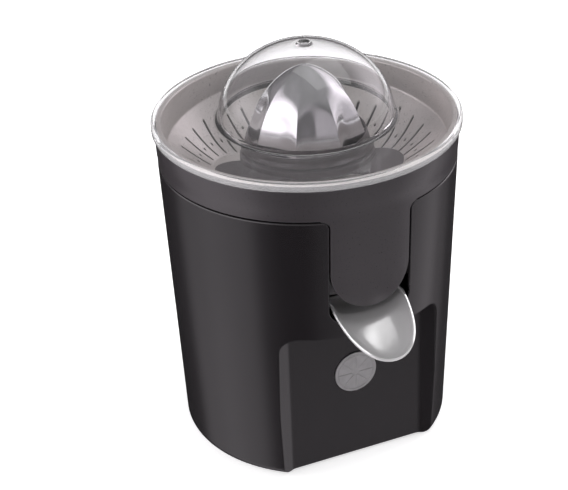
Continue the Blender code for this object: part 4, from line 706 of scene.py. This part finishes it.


# spout: one polished sheet, dished at the root
def makeSpout():
    size = spoutSize
    rimZ = topZ - size["rimDrop"]
    floorZ = rimZ - size["depth"]
    reach = size["length"] * math.cos(size["tilt"])
    across, along = 40, 30

    def section(y):
        share = max((y - size["rootY"]) / reach, 0.0)
        narrowing = (1 - min(share, 1.0) ** 2.2) ** (1 / 2.2)
        if share > 0:
            rim = rimZ - (y - size["rootY"]) * math.tan(size["tilt"])
            depth = size["depth"] * narrowing
        else:
            rim = pinZ + (rimZ - pinZ) * (y - size["pinY"]) / (size["rootY"] - size["pinY"])
            depth = rim - floorZ
        return (size["halfWidth"] - size["sheet"]) * narrowing, rim, depth

    stations = [size["pinY"] + (size["rootY"] - size["pinY"]) * step / 12 for step in range(12)]
    stations += [size["rootY"] + reach * math.sin(math.pi / 2 * step / along) for step in range(along)]
    work = bmesh.new()
    rows = []
    for y in stations:
        half, rim, depth = section(y)
        row = []
        for index in range(across + 1):
            angle = math.pi * index / across
            row.append(work.verts.new((-half * math.cos(angle), axisY - y, rim - depth * math.sin(angle))))
        rows.append(row)
    tip = work.verts.new((0, axisY - size["rootY"] - reach, rimZ - reach * math.tan(size["tilt"])))
    for near, far in zip(rows, rows[1:]):
        for index in range(across):
            work.faces.new((near[index], near[index + 1], far[index + 1], far[index]))
    for index in range(across):
        work.faces.new((rows[-1][index], rows[-1][index + 1], tip))
    work.faces.new(rows[0][::-1])
    spout = newPiece("pouringSpout", meshFrom(work, "pouringSpout"))
    underside = spout.data.polygons[0].normal.z < 0
    shell = spout.modifiers.new("sheet", "SOLIDIFY")
    shell.thickness = size["sheet"]
    shell.offset = 1 if underside else -1
    shell.use_even_offset = True
    applied(spout)
    pinY = axisY - size["pinY"]
    inside = size["halfWidth"] - 3 * mm
    carve(spout, block("room", (-inside, pinY - 2 * mm, pinZ - 5 * mm),
                       (inside, pinY + 3 * mm, pinZ + 5 * mm)))
    for side in (-1, 1):
        inner = side * (size["halfWidth"] - size["earInset"] - size["earThickness"])
        outer = side * (size["halfWidth"] - size["earInset"] + 0.8 * mm)
        join(spout, rod("ear", (inner, pinY, pinZ), (outer, pinY, pinZ), size["earRadius"], 36))
    carve(spout, rod("hole", (-size["halfWidth"] - 2 * mm, pinY, pinZ),
                     (size["halfWidth"] + 2 * mm, pinY, pinZ), size["pinRadius"], 32))
    return place(smooth(spout, 40), "spout", "polished_steel", finishes["polished_steel"], "spout")


makeSpout()
print("spout made")

# housing: tapered shell with the glossy alcove and the notch that takes the tongue and the spout
housingSize = dict(fillet=6 * mm, lip=1.1 * mm, alcoveFace=64 * mm, alcoveHalf=44 * mm,
                   alcoveTop=107.5 * mm, corner=11 * mm, flare=9.5 * mm, slope=4.4 / 9, cove=7 * mm,
                   notchHalf=26.5 * mm, notchCorner=4.5 * mm, notchEnd=14.5 * mm, notchLift=2.8 * mm,
                   notchTop=14.8 * mm, bottomOpening=77.8 * mm, ledge=6 * mm, glandHole=5.3 * mm)


def alcoveTool(grow):
    size = housingSize
    half = size["alcoveHalf"] + grow
    face = -size["alcoveFace"] + grow
    far = rimRadius + 20 * mm
    run = (far + face) / size["slope"]
    plan = [(-half, face), (-half - run, -far), (half + run, -far), (half, face)]
    plan = softened(plan, size["cove"], 8, only=(0, 3))
    tool = prism("alcoveTool", plan, -10 * mm, size["alcoveTop"] + grow)
    side = size["alcoveHalf"] + size["flare"] + grow
    top = size["alcoveTop"] + grow
    corner = size["corner"]
    front = [(-side, -15 * mm)] + arc((-side + corner, top - corner), corner, 180, 90, 12)
    front += arc((side - corner, top - corner), corner, 90, 0, 12) + [(side, -15 * mm)]
    return carve(tool, prism("frontTool", front, axisY - far - 1 * mm, axisY, True), how="INTERSECT")


def makeHousing():
    size = housingSize
    seam = seamZ
    lip = size["lip"]
    bottom = bodyRadius(standZ + size["fillet"])
    outside = [(0, seam), (bodyRadius(seam) - lip, seam)]
    outside += arc((bodyRadius(seam) - lip, seam - lip), lip, 75, 0, 4)
    outside += arc((bottom - size["fillet"], standZ + size["fillet"]), size["fillet"], 0, -90,
                   10) + [(0, standZ)]
    housing = turned("housingShell", outside, steps=216, closed=False)
    deck = deckLow.z
    ledge = bodyRadius(deck) - wall - size["ledge"]
    opening = size["bottomOpening"]
    cavity = turned("cavityTool", [(0, seam + 5 * mm), (bodyRadius(seam) - wall, seam + 5 * mm),
                                   (bodyRadius(deck) - wall, deck - 0.3 * mm), (ledge, deck - 0.3 * mm),
                                   (ledge, deck - 3 * mm),
                                   (bodyRadius(deck) - wall - 0.3 * mm, deck - 9 * mm),
                                   (bodyRadius(standZ + 12 * mm) - wall, standZ + 12 * mm),
                                   (opening, standZ + 6 * mm), (opening, standZ - 5 * mm),
                                   (0, standZ - 5 * mm)], steps=216, closed=False)
    carve(cavity, alcoveTool(wall))
    outline = openingOutline(size["notchHalf"], deckLow.z + size["notchLift"], size["notchEnd"],
                             size["notchCorner"], topZ - size["notchTop"])
    notch = prism("notchTool", outline, axisY - rimRadius - 10 * mm, axisY - baseRadius * 0.7, True)
    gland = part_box("cord_gland")
    glandZ = (gland[0].z + gland[1].z) / 2
    hole = rod("glandTool", (0, axisY + baseRadius - 12 * mm, glandZ),
               (0, axisY + baseRadius + 5 * mm, glandZ), size["glandHole"])
    carve(housing, alcoveTool(0.0), notch, hole, cavity)
    return place(smooth(housing, 30), "housing", "charcoal_body", finishes["charcoal_body"], "housing")


makeHousing()
print("housing made")

# badge: a generic slice of citrus in low relief on the alcove face
badgeSize = dict(radius=14 * mm, thick=0.8 * mm, rind=1.3 * mm, segments=8, gap=0.9 * mm, heart=1.6 * mm,
                 facets=143, arcSteps=14)


def makeBadge():
    size = badgeSize
    low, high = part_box("front_badge")
    back = high.y
    front = low.y
    centre = ((low.x + high.x) / 2, (low.z + high.z) / 2)
    step = size["thick"] * 0.45

    def disc(radius):
        return arc(centre, radius, 0, 357.5, size["facets"])

    badge = prism("badge", disc(size["radius"]), front, back, True)
    inner = size["radius"] - size["rind"]
    carve(badge, prism("hollow", disc(inner), front - 1 * mm, front + step, True))
    reach = inner - size["gap"]
    half = 180 / size["segments"]
    leanest = math.radians(half)
    for index in range(size["segments"]):
        middle = half * (2 * index + 1)
        direction = Vector((math.cos(math.radians(middle)), math.sin(math.radians(middle))))
        wedge = []
        for point in arc((0, 0), reach, middle - half, middle + half, size["arcSteps"]):
            along = Vector(point).dot(direction)
            across = Vector(point) - direction * along
            limit = max(along * math.tan(leanest) - size["gap"] / math.cos(leanest) / 2, 0)
            if across.length > limit:
                across = across.normalized() * limit
            wedge.append(tuple(direction * max(along, size["heart"]) + across))
        wedge.append(tuple(direction * (size["heart"] + 0.1 * mm)))
        wedge = softened(wedge, 0.8 * mm, 3, only=(0, size["arcSteps"], size["arcSteps"] + 1))
        outline = [(centre[0] + x, centre[1] + z) for x, z in wedge]
        join(badge, prism("segment", outline, front + 0.1 * mm, front + step + 0.1 * mm, True))
    return place(smooth(badge, 40), "housing", "pale_badge", finishes["pale_badge"], "front_badge")


makeBadge()
print("badge made")

# motor deck: plate, tower with a rounded foot, and the holes for the fixings
deckSize = dict(tower=7.6 * mm, foot=6 * mm, plate=2.5 * mm, bore=4.5 * mm, seal=6.3 * mm,
                sealDepth=10.3 * mm, fixingHeight=100 * mm, fixingOut=15 * mm)
fixings = [row["node"] for row in frame["record"]["subparts"] if "screw" in row["node"]]


def makeDeck():
    size = deckSize
    top = deckHigh.z
    plate = deckLow.z + size["plate"]
    radius = (deckHigh.x - deckLow.x) / 2
    profile = [(size["tower"] - 0.5 * mm, top), (size["tower"], top - 0.5 * mm),
               (size["tower"], plate + size["foot"])]
    profile += arc((size["tower"] + size["foot"], plate + size["foot"]), size["foot"], 190, 265, 6)
    profile += [(radius * 0.72, plate), (radius * 0.735, plate - 0.5 * mm),
                (radius * 0.755, plate - 0.5 * mm), (radius * 0.77, plate), (radius - 0.5 * mm, plate),
                (radius, plate - 0.5 * mm), (radius, deckLow.z), (size["bore"], deckLow.z),
                (size["bore"], top - size["sealDepth"]), (size["seal"], top - size["sealDepth"]),
                (size["seal"], top - 0.4 * mm), (size["seal"] + 0.4 * mm, top)]
    deck = turned("motorDeck", profile, steps=144)
    for name in fixings:
        low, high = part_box(name)
        middle = (low + high) / 2
        through = low.z < plate and high.z > deckLow.z and high.z > size["fixingHeight"]
        if through and Vector((middle.x, middle.y - axisY)).length > size["fixingOut"]:
            carve(deck, rod("hole", (middle.x, middle.y, deckLow.z - 2 * mm),
                            (middle.x, middle.y, plate + 2 * mm), (high.x - low.x) / 2 + 0.2 * mm, 32))
    return place(smooth(deck), "housing", "dark_plastic", finishes["dark_plastic"], "motor_deck")


# feet: turned pads with a gripping rim
footSize = dict(edge=1 * mm, groove=2.2 * mm, dish=0.5 * mm)


def makeFeet():
    size = footSize
    for index in range(4):
        name = "foot_%d" % (index + 1)
        low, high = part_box(name)
        middle = (low + high) / 2
        radius = (high.x - low.x) / 2
        edge = size["edge"]
        profile = [(0, low.z + size["dish"]), (radius * 0.45, low.z + size["dish"]), (radius * 0.55, low.z)]
        profile += [(radius - size["groove"] - 0.5 * mm, low.z),
                    (radius - size["groove"], low.z + 0.4 * mm),
                    (radius - size["groove"] + 0.5 * mm, low.z)]
        profile += arc((radius - edge, low.z + edge), edge, -80, 0, 4)
        profile += [(radius, high.z - 0.5 * mm), (radius - 0.5 * mm, high.z), (0, high.z)]
        foot = turned("rubberFoot%d" % (index + 1), profile, steps=64, closed=False,
                      centre=(middle.x, middle.y))
        place(smooth(foot), "housing", "black_rubber", finishes["black_rubber"], name)


makeDeck()
makeFeet()
print("deck and feet made")

# floor
floorSize = dict(radius=2.2, sides=128, glow=0.62)


def makeFloor():
    work = bmesh.new()
    bmesh.ops.create_circle(work, cap_ends=True, segments=floorSize["sides"], radius=floorSize["radius"])
    floor = newPiece("paleFloor", meshFrom(work, "paleFloor"))
    made, nodes, links, shader = startFinish("paleFloor")
    coords = nodes.new("ShaderNodeTexCoord")
    broad = noiseIn(nodes, links, coords.outputs["Object"], 3)
    fine = noiseIn(nodes, links, coords.outputs["Object"], 160)
    links.new(blendColours(nodes, links, broad, (0.93, 0.93, 0.93), (0.95, 0.95, 0.95)),
              shader.inputs["Base Color"])
    links.new(spread(nodes, links, fine, 0.75, 0.9), shader.inputs["Roughness"])
    bump = nodes.new("ShaderNodeBump")
    bump.inputs["Strength"].default_value = 0.05
    bump.inputs["Distance"].default_value = 0.1 * mm
    links.new(fine, bump.inputs["Height"])
    links.new(bump.outputs["Normal"], shader.inputs["Normal"])
    shader.inputs["Emission Color"].default_value = (1, 1, 1, 1)
    shader.inputs["Emission Strength"].default_value = floorSize["glow"]
    floor.data.materials.append(made)
    floor.visible_glossy = False


makeFloor()

# studio surroundings: seen as white, reflected as light and dark panels (direction in degrees, brightness)
roomSize = dict(seen=1.0, strength=0.90, ceiling=0.10, below=0.25, tint=(1, 0.945, 0.99))
upperPanels = [(-180, 0.15), (-150, 0.25), (-125, 1.9), (-80, 2.2), (-62, 1.9), (-40, 0.50), (-4, 0.45),
               (4, 0.07), (32, 0.07), (50, 0.50), (75, 0.90), (100, 2.0), (122, 1.2), (145, 0.25),
               (180, 0.15)]
panels = [(-180, 0.10), (-150, 0.20), (-128, 1.7), (-100, 2.6), (-74, 2.3), (-58, 0.40), (-46, 0.04),
          (-27, 0.04), (-14, 0.55), (15, 1.1), (50, 1.0), (66, 2.0), (84, 2.6), (98, 1.0), (116, 0.22),
          (150, 0.15), (180, 0.10)]


def makeRoom():
    world = bpy.data.worlds.new("studio")
    bpy.context.scene.world = world
    world.use_nodes = True
    nodes, links = world.node_tree.nodes, world.node_tree.links
    nodes.clear()
    coords = nodes.new("ShaderNodeTexCoord")
    split = nodes.new("ShaderNodeSeparateXYZ")
    links.new(coords.outputs["Generated"], split.inputs["Vector"])
    turn = nodes.new("ShaderNodeMath")
    turn.operation = "MULTIPLY"
    turn.inputs[1].default_value = -1
    links.new(split.outputs["Y"], turn.inputs[0])
    angle = nodes.new("ShaderNodeMath")
    angle.operation = "ARCTAN2"
    links.new(split.outputs["X"], angle.inputs[0])
    links.new(turn.outputs[0], angle.inputs[1])
    share = spread(nodes, links, angle.outputs[0], 0, 1, -math.pi, math.pi)
    brightest = max(level for direction, level in panels + upperPanels)

    def panelRamp(levels):
        ramp = nodes.new("ShaderNodeValToRGB")
        ramp.color_ramp.interpolation = "EASE"
        while len(ramp.color_ramp.elements) < len(levels):
            ramp.color_ramp.elements.new(0.5)
        for element, (direction, level) in zip(ramp.color_ramp.elements, levels):
            element.position = (direction + 180) / 360
            element.color = tuple(level / brightest * part for part in roomSize["tint"]) + (1,)
        links.new(share, ramp.inputs["Fac"])
        return ramp.outputs["Color"]

    def mixed(share, first, second):
        mix = nodes.new("ShaderNodeMixRGB")
        links.new(share, mix.inputs["Fac"])
        links.new(first, mix.inputs["Color1"])
        if isinstance(second, tuple):
            mix.inputs["Color2"].default_value = second
        else:
            links.new(second, mix.inputs["Color2"])
        return mix.outputs["Color"]

    height = split.outputs["Z"]
    # one row of panels below the horizon, one above it
    above = spread(nodes, links, height, 0, 1, -0.14, 0)
    rows = mixed(above, panelRamp(panels), panelRamp(upperPanels))
    lift = spread(nodes, links, height, 0, 1, 0.42, 0.68)  # the panels give way to an even ceiling overhead
    ceiling = roomSize["ceiling"]
    around = nodes.new("ShaderNodeBackground")
    links.new(mixed(lift, rows, (ceiling, ceiling, ceiling, 1)), around.inputs["Color"])
    full = brightest * roomSize["strength"]
    # dimmer below the horizon than above it
    dim = spread(nodes, links, height, full * roomSize["below"], full, -0.12, 0.08)
    links.new(dim, around.inputs["Strength"])
    seen = nodes.new("ShaderNodeBackground")
    seen.inputs["Color"].default_value = (1, 1, 1, 1)
    seen.inputs["Strength"].default_value = roomSize["seen"]
    path = nodes.new("ShaderNodeLightPath")
    bounced = nodes.new("ShaderNodeMath")  # what is seen through the clear lid is white too
    links.new(path.outputs["Glossy Depth"], bounced.inputs[0])
    links.new(path.outputs["Diffuse Depth"], bounced.inputs[1])
    straight = nodes.new("ShaderNodeMath")
    straight.operation = "LESS_THAN"
    straight.inputs[1].default_value = 0.5
    links.new(bounced.outputs[0], straight.inputs[0])
    either = nodes.new("ShaderNodeMixShader")
    links.new(straight.outputs[0], either.inputs["Fac"])
    links.new(around.outputs["Background"], either.inputs[1])
    links.new(seen.outputs["Background"], either.inputs[2])
    out = nodes.new("ShaderNodeOutputWorld")
    links.new(either.outputs["Shader"], out.inputs["Surface"])


makeRoom()


def directionOf(azimuth, height):
    azimuth, height = math.radians(azimuth), math.radians(height)
    return Vector((math.sin(azimuth) * math.cos(height), -math.cos(azimuth) * math.cos(height),
                   math.sin(height)))


# soft lights: azimuth and height in degrees, distance in metres, power in watts
lampAimZ = 0.14
lights = {
    "overhead": dict(azimuth=105, height=69, distance=1.3, width=0.9, depth=1.0, power=5.6, reflected=True),
    "leftPanel": dict(azimuth=-92, height=32, distance=1.5, width=0.8, depth=1.1, power=6, reflected=False),
    "rightPanel": dict(azimuth=88, height=30, distance=1.6, width=0.8, depth=1.0, power=5.5,
                       reflected=False)}


def makeLights():
    for name, size in lights.items():
        lamp = bpy.data.lights.new(name, "AREA")
        lamp.shape = "RECTANGLE"
        lamp.size = size["width"]
        lamp.size_y = size["depth"]
        lamp.energy = size["power"]
        holder = bpy.data.objects.new(name, lamp)
        bpy.context.scene.collection.objects.link(holder)
        back = directionOf(size["azimuth"], size["height"])
        holder.location = Vector((0, axisY, lampAimZ)) + back * size["distance"]
        holder.rotation_euler = back.to_track_quat("Z", "Y").to_euler()
        holder.visible_camera = False
        holder.visible_glossy = size["reflected"]
        holder.visible_transmission = False


makeLights()

# camera: where it stands from the rim's centre, and the way it looks
cameraSize = dict(standAzimuth=-23.418, standHeight=25.476, distance=1.01375, lookAzimuth=-22.365,
                  lookHeight=30.061, roll=-2.334, lens=105.05)


def makeCamera():
    size = cameraSize
    eye = bpy.data.cameras.new("camera")
    eye.lens = size["lens"]
    eye.sensor_width = 36
    eye.clip_start = 0.01
    eye.clip_end = 20
    camera = bpy.data.objects.new("camera", eye)
    bpy.context.scene.collection.objects.link(camera)
    back = directionOf(size["lookAzimuth"], size["lookHeight"])
    right = Vector((0, 0, 1)).cross(back).normalized()
    up = back.cross(right)
    roll = math.radians(size["roll"])
    leanRight = right * math.cos(roll) + up * math.sin(roll)
    leanUp = up * math.cos(roll) - right * math.sin(roll)
    turn = Matrix((leanRight, leanUp, back)).transposed().to_4x4()
    stand = Vector((0, axisY, topZ)) + directionOf(size["standAzimuth"],
                                                   size["standHeight"]) * size["distance"]
    camera.matrix_world = Matrix.Translation(stand) @ turn
    bpy.context.scene.camera = camera


makeCamera()
bpy.context.scene.view_settings.view_transform = "Standard"
print("floor, lights and camera set")
